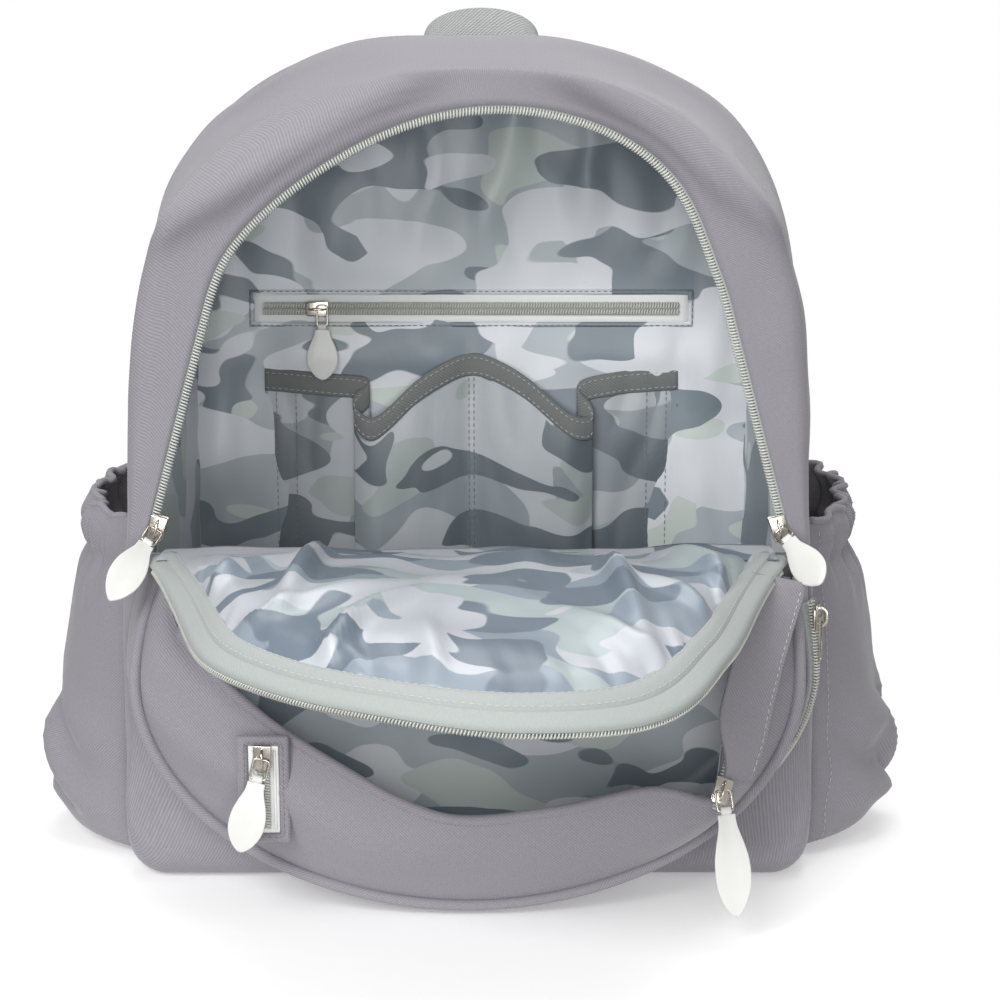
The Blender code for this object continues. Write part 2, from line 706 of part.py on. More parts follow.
def slip_y(x, z):
    """The organiser's cloth: sewn down at both ends and in the middle, standing off between."""
    face = lining_back_y() - CLEARANCE
    lift = abs(math.sin(math.pi * x / SLIP_HALF_WIDTH)) ** 0.6
    low = min(1.0, (z - SLIP_Z[0]) / 0.02)
    return face - SLIP_DEPTH * lift * math.sqrt(max(low, 0.0))


def build_slip_pockets():
    columns = [SLIP_HALF_WIDTH * k / 8 for k in range(-8, 9)]
    heights = [SLIP_Z[0], SLIP_Z[0] + 0.005, SLIP_Z[0] + 0.02, 0.130, SLIP_Z[1]]
    sheet("slip_pocket", [[Vector((x, slip_y(x, z), z)) for x in columns] for z in heights], 0.001, camo, offset=1.0)
    hem_z = (SLIP_Z[1] - 0.012, SLIP_Z[1] + 0.001)
    rows = [[Vector((x, slip_y(x, z) - 0.001 - CLEARANCE, z)) for x in columns] for z in hem_z]
    sheet("slip_pocket_hem", rows, 0.001, canvas, offset=1.0)


# ------------------------------------------------------------------ front pocket


def pocket_outline(shares, grow=0.0):
    """(x, z) down the left side, round the bottom and up the right side, for shares 0 to 1."""
    straight = 0.1
    found = []
    for s in shares:
        half_width, drop = POCKET_HALF_WIDTH + grow, POCKET_MID_Z - POCKET_BOTTOM_Z + grow
        if s < straight or s > 1 - straight:
            side = -1 if s < 0.5 else 1
            rise = (straight - min(s, 1 - s)) / straight
            found.append((side * half_width, lerp(POCKET_MID_Z, POCKET_TOP_Z, rise)))
            continue
        a = math.pi * (s - straight) / (1 - 2 * straight)
        c, power = math.cos(a), 2 / POCKET_ROUNDNESS
        x = -half_width * math.copysign(abs(c) ** power, c)
        found.append((x, POCKET_MID_Z - drop * math.sin(a) ** power))
    return found


def piping_y(z):
    share = (z - POCKET_BOTTOM_Z) / (POCKET_TOP_Z - POCKET_BOTTOM_Z)
    return lerp(PIPING_Y_BOTTOM, PIPING_Y_SIDE, max(0.0, share) ** 1.3)


POCKET_SHARES = [k / 28 for k in range(29)]


def piping_line(grow=0.0):
    return [Vector((x, piping_y(z), z)) for x, z in pocket_outline(POCKET_SHARES, grow)]


def lip_line():
    return smooth_path([(x * POCKET_SCALE, y, z) for x, y, z in LIP], len(POCKET_SHARES) - 1)


def pocket_panel_rows(lift=0.0, edge=0.0, top=0.0):
    """Rows of the front panel from beside the piping up to the mouth's lip. lift moves the
    sheet towards the bag, edge keeps it off the piping and top keeps it off the hem."""
    foot, head = piping_line(), lip_line()
    rows = []
    for t in (0.0, 0.12, 0.4, 0.75, 1.0):
        row = []
        for p, q in zip(foot, head):
            way = (q - p).length
            share = lerp(min(edge / way, 0.3), 1 - min(top / way, 0.32), t)
            place = p + (q - p) * share
            bulge = POCKET_BULGE * math.sin(math.pi * t) * min(1.0, way / 0.05)
            row.append(place + Vector((0, lift - bulge, 0)))
        rows.append(row)
    return rows


def flare(t):
    """Widening of the gusset, from the wall at 0 to the piping at 1."""
    return 1 + GUSSET_FLARE * (1 - t) / POCKET_HALF_WIDTH


def build_pocket_walls():
    edge = PIPING_R + CLEARANCE * 3
    sheet("pocket_front", pocket_panel_rows(0.0, edge, HEM_R + CLEARANCE * 3), CLOTH, canvas, offset=0.0)
    tube("pocket_piping", piping_line(), PIPING_R, canvas)
    tube("pocket_hem", lip_line()[4:22], HEM_R, canvas)
    wall_y = FRONT_Y - CLEARANCE * 2
    rows = []
    for t in (0.0, 0.5, 1.0):
        row = []
        for x, z in pocket_outline(POCKET_SHARES):
            front = piping_y(z) + edge
            row.append(Vector((x * flare(t), lerp(wall_y, front, t), z)))
        rows.append(row)
    sheet("pocket_gusset", rows, CLOTH, canvas, offset=-1.0)


def build_pocket_lining():
    """One bag of lining: up the wall of the main compartment, round the gusset and up inside the front."""
    inner = pocket_outline(POCKET_SHARES, -0.0035)
    back_y = FRONT_Y - 0.0022
    top = [Vector((lerp(-0.118, 0.118, s) * POCKET_SCALE, back_y, POCKET_TOP_Z + 0.008)) for s in POCKET_SHARES]
    wall = [Vector((x * 0.97, back_y, lerp(z, POCKET_TOP_Z, 0.03))) for x, z in inner]
    turn = [Vector((x, back_y - 0.010, z)) for x, z in inner]
    front = [Vector((x, piping_y(z) + 0.0055, z)) for x, z in inner]
    panel = pocket_panel_rows(0.0042, 0.010, HEM_R + CLEARANCE + 0.002)
    sheet("pocket_lining", [top, wall, turn, front, panel[2], panel[3], panel[4]], LINING, camo, offset=0.0)


def panel_y(x, z):
    """The front panel's middle surface at a place, from the triangles of its grid."""
    rows = pocket_panel_rows(0.0, PIPING_R + CLEARANCE * 2, HEM_R + CLEARANCE * 2)
    for low, high in zip(rows, rows[1:]):
        for a, b, c, d in zip(low, low[1:], high[1:], high):
            for p, q, r in ((a, b, c), (a, c, d)):
                area = (q.x - p.x) * (r.z - p.z) - (r.x - p.x) * (q.z - p.z)
                u = ((x - p.x) * (r.z - p.z) - (r.x - p.x) * (z - p.z)) / area
                v = ((q.x - p.x) * (z - p.z) - (x - p.x) * (q.z - p.z)) / area
                if u >= 0 and v >= 0 and u + v <= 1:
                    return p.y + u * (q.y - p.y) + v * (r.y - p.y)
    return PIPING_Y_BOTTOM


def build_pocket_window():
    """The zip's left end, in a stitched window, with the slider at its top. The window is flat,
    so it stands clear of the panel's bulge."""
    low, high = WINDOW_Z
    places = [(WINDOW_X + dx, lerp(low, high, k / 4)) for dx in (-WINDOW_HALF_WIDTH, 0, WINDOW_HALF_WIDTH) for k in range(5)]
    foot_y, head_y = panel_y(WINDOW_X, low), panel_y(WINDOW_X, high)
    slope = (head_y - foot_y) / (high - low)
    proud = min(panel_y(x, z) - (foot_y + slope * (z - low)) for x, z in places)
    mid_y = (foot_y + head_y) / 2 + proud - (CLOTH + TAPE) / 2 - CLEARANCE * 2
    lean = math.atan(slope)
    frame = empty_at("pocket_window_at", (WINDOW_X, mid_y, (low + high) / 2), (-lean, 0, 0))
    reach = (high - low) / 2
    plate("pocket_zip_tape_l", rounded_box(WINDOW_HALF_WIDTH, reach, 0.002, 2), TAPE, tape_cloth, frame)
    coil_y = -(TAPE / 2 + CLEARANCE + COIL_R)
    ends = [Vector((0, coil_y, -reach + 0.003)), Vector((0, coil_y, reach - 0.002))]
    tube("pocket_zip_coil_l", ends, COIL_R, coil_plastic, frame)
    slider = empty_at("pocket_slider_l_at", (0, coil_y, reach - 0.004), (0, 0, 0), frame)
    build_slider("pocket_slider_l", slider)
    build_pull("pocket_pull_l", slider, math.radians(8), math.radians(14), 0.030)


def build_pocket_strip():
    """The fabric strip over the right leg of the pocket's zip, and the leg's coil and slider."""
    way = STRIP_HEAD - STRIP_FOOT
    steps = [STRIP_FOOT + way * (k / 5) + Vector((0, -0.002 * math.sin(math.pi * k / 5), 0)) for k in range(6)]
    across = Vector((1, 0.35, -0.28)).normalized() * STRIP_HALF_WIDTH
    rows = [[p - across, p, p + across] for p in steps]
    sheet("pocket_strip_r", rows, CLOTH, canvas, offset=0.0)
    offset = Vector((-0.0105, -0.0015, 0.0))
    foot, head = STRIP_FOOT + offset, STRIP_HEAD + offset
    tube("pocket_zip_coil_r", [foot - way.normalized() * 0.004, head - way.normalized() * 0.012], COIL_R, coil_plastic)
    lean_y = math.atan2(way.x, way.z)
    lean_x = math.atan2(way.y, math.hypot(way.x, way.z))
    frame = empty_at("pocket_slider_r_at", foot + way.normalized() * 0.004, (0, 0, 0))
    frame.rotation_euler = (Matrix.Rotation(lean_y, 3, "Y") @ Matrix.Rotation(-lean_x, 3, "X")).to_euler()
    build_slider("pocket_slider_r", frame)
    build_pull("pocket_pull_r", frame, 0.0, math.radians(-24), 0.042, lean_x - math.radians(13))


def build_side_zip():
    """The curved zip on the right of the pocket's gusset."""
    shares = [lerp(0.70, 0.985, k / 16) for k in range(17)]
    depth = SIDE_ZIP_Y - (FRONT_Y - CLEARANCE * 2)

    def line(dy, out):
        places = []
        for x, z in pocket_outline(shares, out):
            t = (depth + dy) / (piping_y(z) + PIPING_R - FRONT_Y)
            places.append(Vector((x * flare(t), SIDE_ZIP_Y + dy, z)))
        return places

    tape_out = CLEARANCE * 2
    rows = [line(-SIDE_ZIP_HALF_WIDTH, tape_out), line(SIDE_ZIP_HALF_WIDTH, tape_out)]
    sheet("side_zip_tape", rows, TAPE, tape_cloth, offset=-1.0)
    coil_out = tape_out + TAPE + CLEARANCE + COIL_R
    coil = line(0.0, coil_out)
    tube("side_zip_coil", coil, COIL_R, coil_plastic)
    lean = math.atan2(GUSSET_FLARE, FRONT_Y - PIPING_Y_SIDE)
    slider = empty_at("side_slider_at", (coil[-1].x, SIDE_ZIP_Y, POCKET_TOP_Z - 0.010), (0, 0, math.pi / 2 - lean))
    build_slider("side_slider", slider)
    pivot = empty_at("side_pull_pivot", (0, pull_pivot_y(), 0), (0, 0, 0), slider)
    w, low = RING_HALF_WIDTH, 0.019
    loop = [(w, 0, 0), (w, 0, -low * 0.6), (w * 0.6, 0, -low), (-w * 0.6, 0, -low), (-w, 0, -low * 0.6), (-w, 0, 0)]
    tube("side_pull", loop, RING_WIRE_R, zinc, pivot, cyclic=True)


# ------------------------------------------------------------------ side pockets


def side_pocket_rows(mirror, inset=0.0):
    low, high = SIDE_POCKET_Z
    front, back = SIDE_POCKET_Y
    levels = ((0.0, 0.0), (0.05, 0.6), (0.16, 0.95), (0.34, 1.0), (0.66, 0.78), (0.88, 0.52), (1.0, 0.45))
    rows = []
    for t, share in levels:
        row = []
        for k in range(9):
            s = k / 4 - 1
            out = SIDE_POCKET_BULGE * share * (1 - abs(s) ** 2.4) ** 0.7
            x = BAG_HALF_WIDTH + LAYER_GAP + max(0.0, out - inset)
            row.append(Vector((mirror * x, lerp(front, back, (s + 1) / 2), lerp(low, high, t))))
        rows.append(row)
    return rows


def build_side_pockets():
    for side, mirror in (("r", 1), ("l", -1)):
        sheet(f"side_pocket_{side}", side_pocket_rows(mirror), CLOTH, canvas, offset=float(mirror))
        rim = side_pocket_rows(mirror, CLEARANCE * 2 + ELASTIC_R)[-1]
        path = [p + Vector((0, 0, -0.006)) for p in rim[1:-1]]
        tube(f"side_elastic_{side}", path, ELASTIC_R, rubber)


# ------------------------------------------------------------------ carrying


def ribbon(name, path, across, thickness, paint, parent=None, origin=(0, 0, 0)):
    """A flat strap along a path, centred on it."""
    place = Vector(origin)
    rows = [[p - across - place, p - place, p + across - place] for p in path]
    return sheet(name, rows, thickness, paint, parent, offset=0.0)


def build_handle():
    """A low loop of webbing, gathered to narrow ends where it is sewn down."""
    base_z = top_surface_z(HANDLE_HALF_SPAN) + HANDLE_LIFT
    hinge = empty_at("handle_hinge", (0, HANDLE_Y, base_z))
    narrow, wide = HANDLE_HALF_WIDTH
    rows = []
    for k in range(13):
        a = math.pi * k / 12
        place = Vector((-HANDLE_HALF_SPAN * math.cos(a), 0, HANDLE_RISE * math.sin(a) ** 0.8))
        across = Vector((0, lerp(narrow, wide, math.sin(a) ** 0.7), 0))
        rows.append([place - across, place, place + across])
    sheet("grab_handle", rows, WEBBING, webbing, hinge, offset=0.0)


def top_surface_z(x):
    c = (x / BAG_HALF_WIDTH) ** (TOP_ROUNDNESS / 2)
    return SHOULDER_Z + (BAG_HEIGHT - SHOULDER_Z) * math.sqrt(1 - c * c) ** (2 / TOP_ROUNDNESS)


def mirrored(points, mirror):
    return [Vector((mirror * p[0], p[1], p[2])) for p in points]


def build_straps():
    for side, mirror in (("r", 1), ("l", -1)):
        axis = Vector((mirror * STRAP_PATH[0][0], STRAP_PATH[0][1], STRAP_PATH[0][2]))
        hinge = empty_at(f"strap_hinge_{side}", axis)
        path = mirrored(smooth_path(STRAP_PATH, 12), mirror)
        ribbon(f"strap_pad_{side}", path, Vector((STRAP_HALF_WIDTH, 0, 0)), STRAP_THICKNESS, canvas, hinge, axis)
        web = mirrored(smooth_path(STRAP_WEB_PATH, 8), mirror)
        lean = (path[-1] - path[-2]).normalized()
        build_ladder(side, path[-1] + lean * (LADDER[1] + 0.0015) - axis, lean, hinge)
        ribbon(f"strap_webbing_{side}", web[2:], Vector((STRAP_WEB_HALF_WIDTH, 0, 0)), WEBBING, webbing)


def build_ladder(side, place, lean, hinge):
    """A ladder-lock adjuster: a flat frame with two slots for the webbing."""
    half_width, half_height, thickness = LADDER
    slot = [(-0.0135, -0.002), (0.0135, -0.002), (0.0135, 0.002), (-0.0135, 0.002)]
    slots = [[(x, z + lift) for x, z in slot] for lift in (-0.006, 0.005)]
    tilt = math.atan2(lean.y, -lean.z)
    plate(
        f"ladder_lock_{side}",
        rounded_box(half_width, half_height, 0.003, 2),
        thickness,
        board,
        hinge,
        location=place,
        holes=slots,
        turn=(math.pi / 2 + tilt, 0, 0),
    )


build_shell()
build_back()
build_lining()
build_base_board()
build_arch_zip()
build_flap()
build_main_sliders()
build_inner_zip()
build_slip_pockets()
build_pocket_walls()
build_pocket_lining()
build_pocket_window()
build_pocket_strip()
build_side_zip()
build_side_pockets()
build_handle()
build_straps()
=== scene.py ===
import math

import bmesh
import bpy
from mathutils import Matrix, Vector, noise


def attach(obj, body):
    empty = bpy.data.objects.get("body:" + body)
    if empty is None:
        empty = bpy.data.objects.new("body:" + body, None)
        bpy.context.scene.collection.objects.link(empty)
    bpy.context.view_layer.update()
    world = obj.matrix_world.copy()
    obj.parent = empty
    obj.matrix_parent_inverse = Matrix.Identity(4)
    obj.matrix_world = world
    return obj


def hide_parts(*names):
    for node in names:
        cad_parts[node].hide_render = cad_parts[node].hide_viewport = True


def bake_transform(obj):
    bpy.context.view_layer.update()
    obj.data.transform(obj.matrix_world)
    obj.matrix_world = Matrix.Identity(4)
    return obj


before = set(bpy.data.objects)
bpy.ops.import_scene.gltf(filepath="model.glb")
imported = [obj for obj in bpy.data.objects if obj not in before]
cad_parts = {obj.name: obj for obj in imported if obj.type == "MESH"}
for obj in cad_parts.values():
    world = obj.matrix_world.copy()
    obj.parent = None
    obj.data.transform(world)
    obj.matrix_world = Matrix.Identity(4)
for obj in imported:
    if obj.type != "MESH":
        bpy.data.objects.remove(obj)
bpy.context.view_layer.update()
scene = bpy.context.scene

# camera, light and floor

view = dict(eye=(0.0139, -1.1325, 0.3562), aim=(0.0139, 0.0, 0.1562), lens=89)
lamps = (  # name, place, size, watts
    ("keyLamp", (-0.60, -1.40, 1.00), 0.7, 19.0),
    ("fillLamp", (1.25, -0.9, 0.65), 1.3, 1.0),
    ("topLamp", (0.1, 0.15, 1.6), 1.1, 15.0),
    ("frontLamp", (0.05, -1.35, 0.26), 0.6, 6.5),
)
cameraData = bpy.data.cameras.new("camera")
camera = bpy.data.objects.new("camera", cameraData)
scene.collection.objects.link(camera)
cameraData.lens = view["lens"]
camera.location = view["eye"]
camera.rotation_euler = (Vector(view["aim"]) - Vector(view["eye"])).to_track_quat("-Z", "Y").to_euler()
scene.camera = camera
scene.view_settings.view_transform = "Standard"

for lampName, lampPlace, lampSize, watts in lamps:
    lampData = bpy.data.lights.new(lampName, "AREA")
    lampData.size = lampSize
    lampData.energy = watts
    lamp = bpy.data.objects.new(lampName, lampData)
    scene.collection.objects.link(lamp)
    lamp.location = lampPlace
    lamp.rotation_euler = (Vector((0, 0, 0.15)) - Vector(lampPlace)).to_track_quat("-Z", "Y").to_euler()

world = bpy.data.worlds.new("studio")
scene.world = world
world.use_nodes = True
worldTree = world.node_tree
glow = worldTree.nodes["Background"]  # what lights the scene
glow.inputs["Color"].default_value = (1, 1, 1, 1)
glow.inputs["Strength"].default_value = 0.42
sky = worldTree.nodes.new("ShaderNodeBackground")  # what shows behind the bag
sky.inputs["Color"].default_value = (1, 1, 1, 1)
rays = worldTree.nodes.new("ShaderNodeLightPath")
either = worldTree.nodes.new("ShaderNodeMixShader")
worldTree.links.new(rays.outputs["Is Camera Ray"], either.inputs["Fac"])
worldTree.links.new(glow.outputs[0], either.inputs[1])
worldTree.links.new(sky.outputs[0], either.inputs[2])
worldTree.links.new(either.outputs[0], worldTree.nodes["World Output"].inputs["Surface"])


# materials

def newGroup(name, inputs, outputs):
    group = bpy.data.node_groups.new(name, "ShaderNodeTree")
    for label, kind, value in inputs:
        socket = group.interface.new_socket(label, in_out="INPUT", socket_type=kind)
        if value is not None:
            socket.default_value = value
    for label, kind in outputs:
        group.interface.new_socket(label, in_out="OUTPUT", socket_type=kind)
    return group, group.nodes.new("NodeGroupInput"), group.nodes.new("NodeGroupOutput")


def maths(tree, operation, a, b=None):
    made = tree.nodes.new("ShaderNodeMath")
    made.operation = operation
    for i, value in enumerate((a, b)):
        if value is None:
            continue
        if isinstance(value, (int, float)):
            made.inputs[i].default_value = value
        else:
            tree.links.new(value, made.inputs[i])
    return made.outputs[0]


def softStep(tree, value, low, high):
    made = tree.nodes.new("ShaderNodeMapRange")
    made.interpolation_type = "SMOOTHSTEP"
    made.inputs["From Min"].default_value = low
    made.inputs["From Max"].default_value = high
    tree.links.new(value, made.inputs["Value"])
    return made.outputs["Result"]


def colourMix(tree, factor, a, b):
    made = tree.nodes.new("ShaderNodeMix")
    made.data_type = "RGBA"
    for socket, value in ((made.inputs[0], factor), (made.inputs[6], a), (made.inputs[7], b)):
        if isinstance(value, (int, float)):
            socket.default_value = value
        elif isinstance(value, tuple):
            socket.default_value = (*value, 1)
        else:
            tree.links.new(value, socket)
    return made.outputs[2]


def shifted(tree, vector, offset, scale=(1, 1, 1)):
    made = tree.nodes.new("ShaderNodeMapping")
    made.inputs["Location"].default_value = offset
    made.inputs["Scale"].default_value = scale
    tree.links.new(vector, made.inputs["Vector"])
    return made.outputs["Vector"]


def noiseOf(tree, vector, scale, detail=2.0, rough=0.5, distortion=0.0):
    made = tree.nodes.new("ShaderNodeTexNoise")
    made.inputs["Scale"].default_value = scale
    made.inputs["Detail"].default_value = detail
    made.inputs["Roughness"].default_value = rough
    made.inputs["Distortion"].default_value = distortion
    tree.links.new(vector, made.inputs["Vector"])
    return made.outputs["Fac"]


def weaveGroup():
    group, start, end = newGroup(
        "weave",
        [("Vector", "NodeSocketVector", None), ("Threads", "NodeSocketFloat", 400.0),
            ("Slub", "NodeSocketFloat", 0.5)],
        [("Height", "NodeSocketFloat"), ("Fleck", "NodeSocketFloat")],
    )
    vector = start.outputs["Vector"]
    twill = group.nodes.new("ShaderNodeTexWave")
    twill.bands_direction = "DIAGONAL"
    cross = group.nodes.new("ShaderNodeTexWave")
    cross.bands_direction = "X"
    for wave, distort in ((twill, 0.25), (cross, 0.15)):
        group.links.new(vector, wave.inputs["Vector"])
        group.links.new(start.outputs["Threads"], wave.inputs["Scale"])
        wave.inputs["Distortion"].default_value = distort
    fine = noiseOf(group, vector, 1600.0, 2.0, 0.6)
    fleck = noiseOf(group, shifted(group, vector, (0, 0, 0), (1, 0.35, 1)), 1500.0, 2.0, 0.7)
    threads = maths(group, "ADD", maths(group, "MULTIPLY", twill.outputs["Fac"], 0.7),
        maths(group, "MULTIPLY", cross.outputs["Fac"], 0.3))
    height = maths(group, "ADD", threads, maths(group, "MULTIPLY", fine, start.outputs["Slub"]))
    group.links.new(height, end.inputs["Height"])
    group.links.new(fleck, end.inputs["Fleck"])
    return group


def ageGroup():
    group, start, end = newGroup(
        "handling",
        [("Vector", "NodeSocketVector", None), ("Size", "NodeSocketFloat", 14.0)],
        [("Cloud", "NodeSocketFloat"), ("Rub", "NodeSocketFloat")],
    )
    cloud = group.nodes.new("ShaderNodeTexNoise")
    cloud.inputs["Detail"].default_value = 3.0
    group.links.new(start.outputs["Vector"], cloud.inputs["Vector"])
    group.links.new(start.outputs["Size"], cloud.inputs["Scale"])
    rub = noiseOf(group, start.outputs["Vector"], 220.0, 4.0, 0.65)
    group.links.new(cloud.outputs["Fac"], end.inputs["Cloud"])
    group.links.new(softStep(group, rub, 0.5, 0.75), end.inputs["Rub"])
    return group


def camoGroup():
    tones = [(label, "NodeSocketColor", (0.5, 0.5, 0.5, 1)) for label in ("Light", "Mid", "Dark", "Green")]
    group, start, end = newGroup("camo", [("Vector", "NodeSocketVector", None), *tones],
        [("Color", "NodeSocketColor"), ("Edge", "NodeSocketFloat")])
    stretched = shifted(group, start.outputs["Vector"], (0, 0, 0), (1.0, 1.75, 1.0))
    light, mid, dark, green = [start.outputs[label] for label in ("Light", "Mid", "Dark", "Green")]
    colour = colourMix(group, softStep(group, noiseOf(group, shifted(group, stretched, (1.3, 0.7, 0.2)),
        14.0, 0.6, 0.35, 0.35), 0.47, 0.478), light, mid)
    colour = colourMix(group, softStep(group, noiseOf(group, shifted(group, stretched, (5.1, 3.3, 1.2)),
        15.0, 0.6, 0.35, 0.3), 0.585, 0.593), colour, green)
    darkMask = softStep(group, noiseOf(group, shifted(group, stretched, (9.7, 2.1, 4.2)), 15.0, 0.8, 0.4,
        0.4), 0.525, 0.533)
    colour = colourMix(group, darkMask, colour, dark)
    tip = softStep(group, noiseOf(group, shifted(group, stretched, (2.2, 8.4, 7.1)), 16.0, 0.6, 0.35, 0.3),
        0.615, 0.623)
    colour = colourMix(group, tip, colour, light)
    group.links.new(colour, end.inputs["Color"])
    group.links.new(darkMask, end.inputs["Edge"])
    return group


weave = weaveGroup()
handling = ageGroup()
camo = camoGroup()


def useGroup(tree, group, vector, **values):
    made = tree.nodes.new("ShaderNodeGroup")
    made.node_tree = group
    tree.links.new(vector, made.inputs["Vector"])
    for label, value in values.items():
        made.inputs[label].default_value = value
    return made


def startMaterial(name, coordinates="UV"):
    made = bpy.data.materials.new(name)
    made.use_nodes = True
    tree = made.node_tree
    place = tree.nodes.new("ShaderNodeTexCoord")
    return made, tree, tree.nodes["Principled BSDF"], place.outputs[coordinates]


def addBump(tree, shader, height, strength, distance):
    bump = tree.nodes.new("ShaderNodeBump")
    bump.inputs["Strength"].default_value = strength
    bump.inputs["Distance"].default_value = distance
    tree.links.new(height, bump.inputs["Height"])
    tree.links.new(bump.outputs["Normal"], shader.inputs["Normal"])


def clothMaterial(name, look, coordinates="UV"):
    made, tree, shader, vector = startMaterial(name, coordinates)
    threads = useGroup(tree, weave, vector, Threads=look["threads"], Slub=look.get("slub", 0.5))
    age = useGroup(tree, handling, vector, Size=look.get("cloudSize", 14.0))
    fleck = maths(tree, "ADD", maths(tree, "MULTIPLY", threads.outputs["Fleck"], 0.45),
        maths(tree, "MULTIPLY", threads.outputs["Height"], 0.40))
    colour = colourMix(tree, softStep(tree, fleck, 0.25, 0.85), look["dark"], look["light"])
    shade = colourMix(tree, maths(tree, "MULTIPLY", age.outputs["Cloud"], look.get("cloud", 0.25)), colour,
        look["cloudTone"])
    grooves = colourMix(tree, maths(tree, "MULTIPLY", softStep(tree, threads.outputs["Height"], 0.9, 0.2),
        look.get("groove", 0.25)), shade, look["dark"])
    tree.links.new(grooves, shader.inputs["Base Color"])
    rough = maths(tree, "ADD", maths(tree, "MULTIPLY", age.outputs["Rub"], -0.08), look["rough"])
    tree.links.new(rough, shader.inputs["Roughness"])
    shader.inputs["Sheen Weight"].default_value = look.get("sheen", 0.15)
    shader.inputs["Sheen Roughness"].default_value = 0.4
    shader.inputs["Specular IOR Level"].default_value = look.get("specular", 0.25)
    addBump(tree, shader, threads.outputs["Height"], look.get("bump", 0.35), look.get("depth", 0.0003))
    return made


def camoMaterial(name, look, coordinates="UV"):
    made, tree, shader, vector = startMaterial(name, coordinates)
    pattern = useGroup(tree, camo, shifted(tree, vector, look["shift"], look["scale"]),
        **{label: (*tone, 1) for label, tone in look["tones"].items()})
    threads = useGroup(tree, weave, vector, Threads=900.0, Slub=0.4)
    age = useGroup(tree, handling, vector, Size=30.0)
    faded = colourMix(tree, maths(tree, "MULTIPLY", age.outputs["Cloud"], 0.12), pattern.outputs["Color"],
        (0.5, 0.53, 0.55))
    tree.links.new(faded, shader.inputs["Base Color"])
    rough = maths(tree, "ADD", maths(tree, "MULTIPLY", age.outputs["Cloud"], 0.16), look["rough"])
    tree.links.new(rough, shader.inputs["Roughness"])
    shader.inputs["Specular IOR Level"].default_value = 0.6
    shader.inputs["Coat Weight"].default_value = look.get("coat", 0.15)
    shader.inputs["Coat Roughness"].default_value = 0.22
    soft = noiseOf(tree, shifted(tree, vector, (0, 0, 0), (1, 0.5, 1)), 120.0, 2.0, 0.5)
    height = maths(tree, "ADD", maths(tree, "MULTIPLY", threads.outputs["Height"], 0.15), soft)
    addBump(tree, shader, height, look.get("bump", 0.22), 0.0012)
    return made


greyCanvas = clothMaterial("greyCanvas", dict(
    threads=430.0, dark=(0.200, 0.192, 0.212), light=(0.305, 0.295, 0.322), cloudTone=(0.282, 0.273, 0.298),
        rough=0.82, sheen=0.25, bump=0.4))
hemCanvas = clothMaterial("hemCanvas", dict(
    threads=430.0, dark=(0.12, 0.13, 0.125), light=(0.20, 0.21, 0.205), cloudTone=(0.175, 0.185, 0.18),
        rough=0.82, sheen=0.2, bump=0.4))
zipTape = clothMaterial("zipTape", dict(
    threads=700.0, dark=(0.29, 0.315, 0.305), light=(0.40, 0.43, 0.415), cloudTone=(0.37, 0.395, 0.385),
        rough=0.62, sheen=0.2, bump=0.35))
whiteTape = clothMaterial("whiteTape", dict(
    threads=700.0, dark=(0.76, 0.77, 0.76), light=(0.88, 0.88, 0.87), cloudTone=(0.84, 0.85, 0.84),
        rough=0.6, sheen=0.2, bump=0.35))
webbing = clothMaterial("webbing", dict(
    threads=330.0, dark=(0.20, 0.205, 0.205), light=(0.46, 0.465, 0.46), cloudTone=(0.34, 0.345, 0.345),
        rough=0.38, sheen=0.1,
    specular=0.7, bump=0.7, depth=0.0006, slub=0.2, groove=0.4))
backMesh = clothMaterial("backMesh", dict(
    threads=180.0, dark=(0.19, 0.18, 0.20), light=(0.33, 0.315, 0.35), cloudTone=(0.28, 0.27, 0.30),
        rough=0.9, bump=0.8, depth=0.0008))
threadGrey = clothMaterial("threadGrey", dict(
    threads=1500.0, dark=(0.20, 0.19, 0.21), light=(0.30, 0.285, 0.32), cloudTone=(0.26, 0.25, 0.28),
        rough=0.6, bump=0.3), "Object")
threadPale = clothMaterial("threadPale", dict(
    threads=1500.0, dark=(0.42, 0.42, 0.43), light=(0.62, 0.62, 0.63), cloudTone=(0.52, 0.53, 0.53),
        rough=0.6, bump=0.3), "Object")
insideTones = dict(Light=(0.66, 0.68, 0.715), Mid=(0.40, 0.445, 0.475), Dark=(0.15, 0.19, 0.22),
    Green=(0.54, 0.60, 0.56))
flapTones = dict(Light=(0.42, 0.44, 0.475), Mid=(0.205, 0.25, 0.295), Dark=(0.105, 0.14, 0.18),
    Green=(0.315, 0.365, 0.37))
camoInside = camoMaterial("camoInside", dict(tones=insideTones, shift=(0.37, 0.21, 0.0),
    scale=(1.3, 1.3, 1.3), rough=0.36, bump=0.25))
# slip pocket: the lining camo at about half its brightness, painted shade for the low back of the inside
slipPaintedShadeTones = dict(Light=(0.36, 0.385, 0.41), Mid=(0.20, 0.23, 0.25), Dark=(0.075, 0.098, 0.115),
    Green=(0.28, 0.32, 0.31))
camoPocketPaintedShade = camoMaterial("camoPocketPaintedShade", dict(tones=slipPaintedShadeTones, shift=(0.61, 0.47, 0.0),
    scale=(1.35, 1.35, 1.35), rough=0.34, bump=0.22))
camoFlap = camoMaterial("camoFlap", dict(tones=flapTones, shift=(1.61, 0.83, 0.0), scale=(1.2, 1.2, 1.2),
    rough=0.36, coat=0.2, bump=0.22))


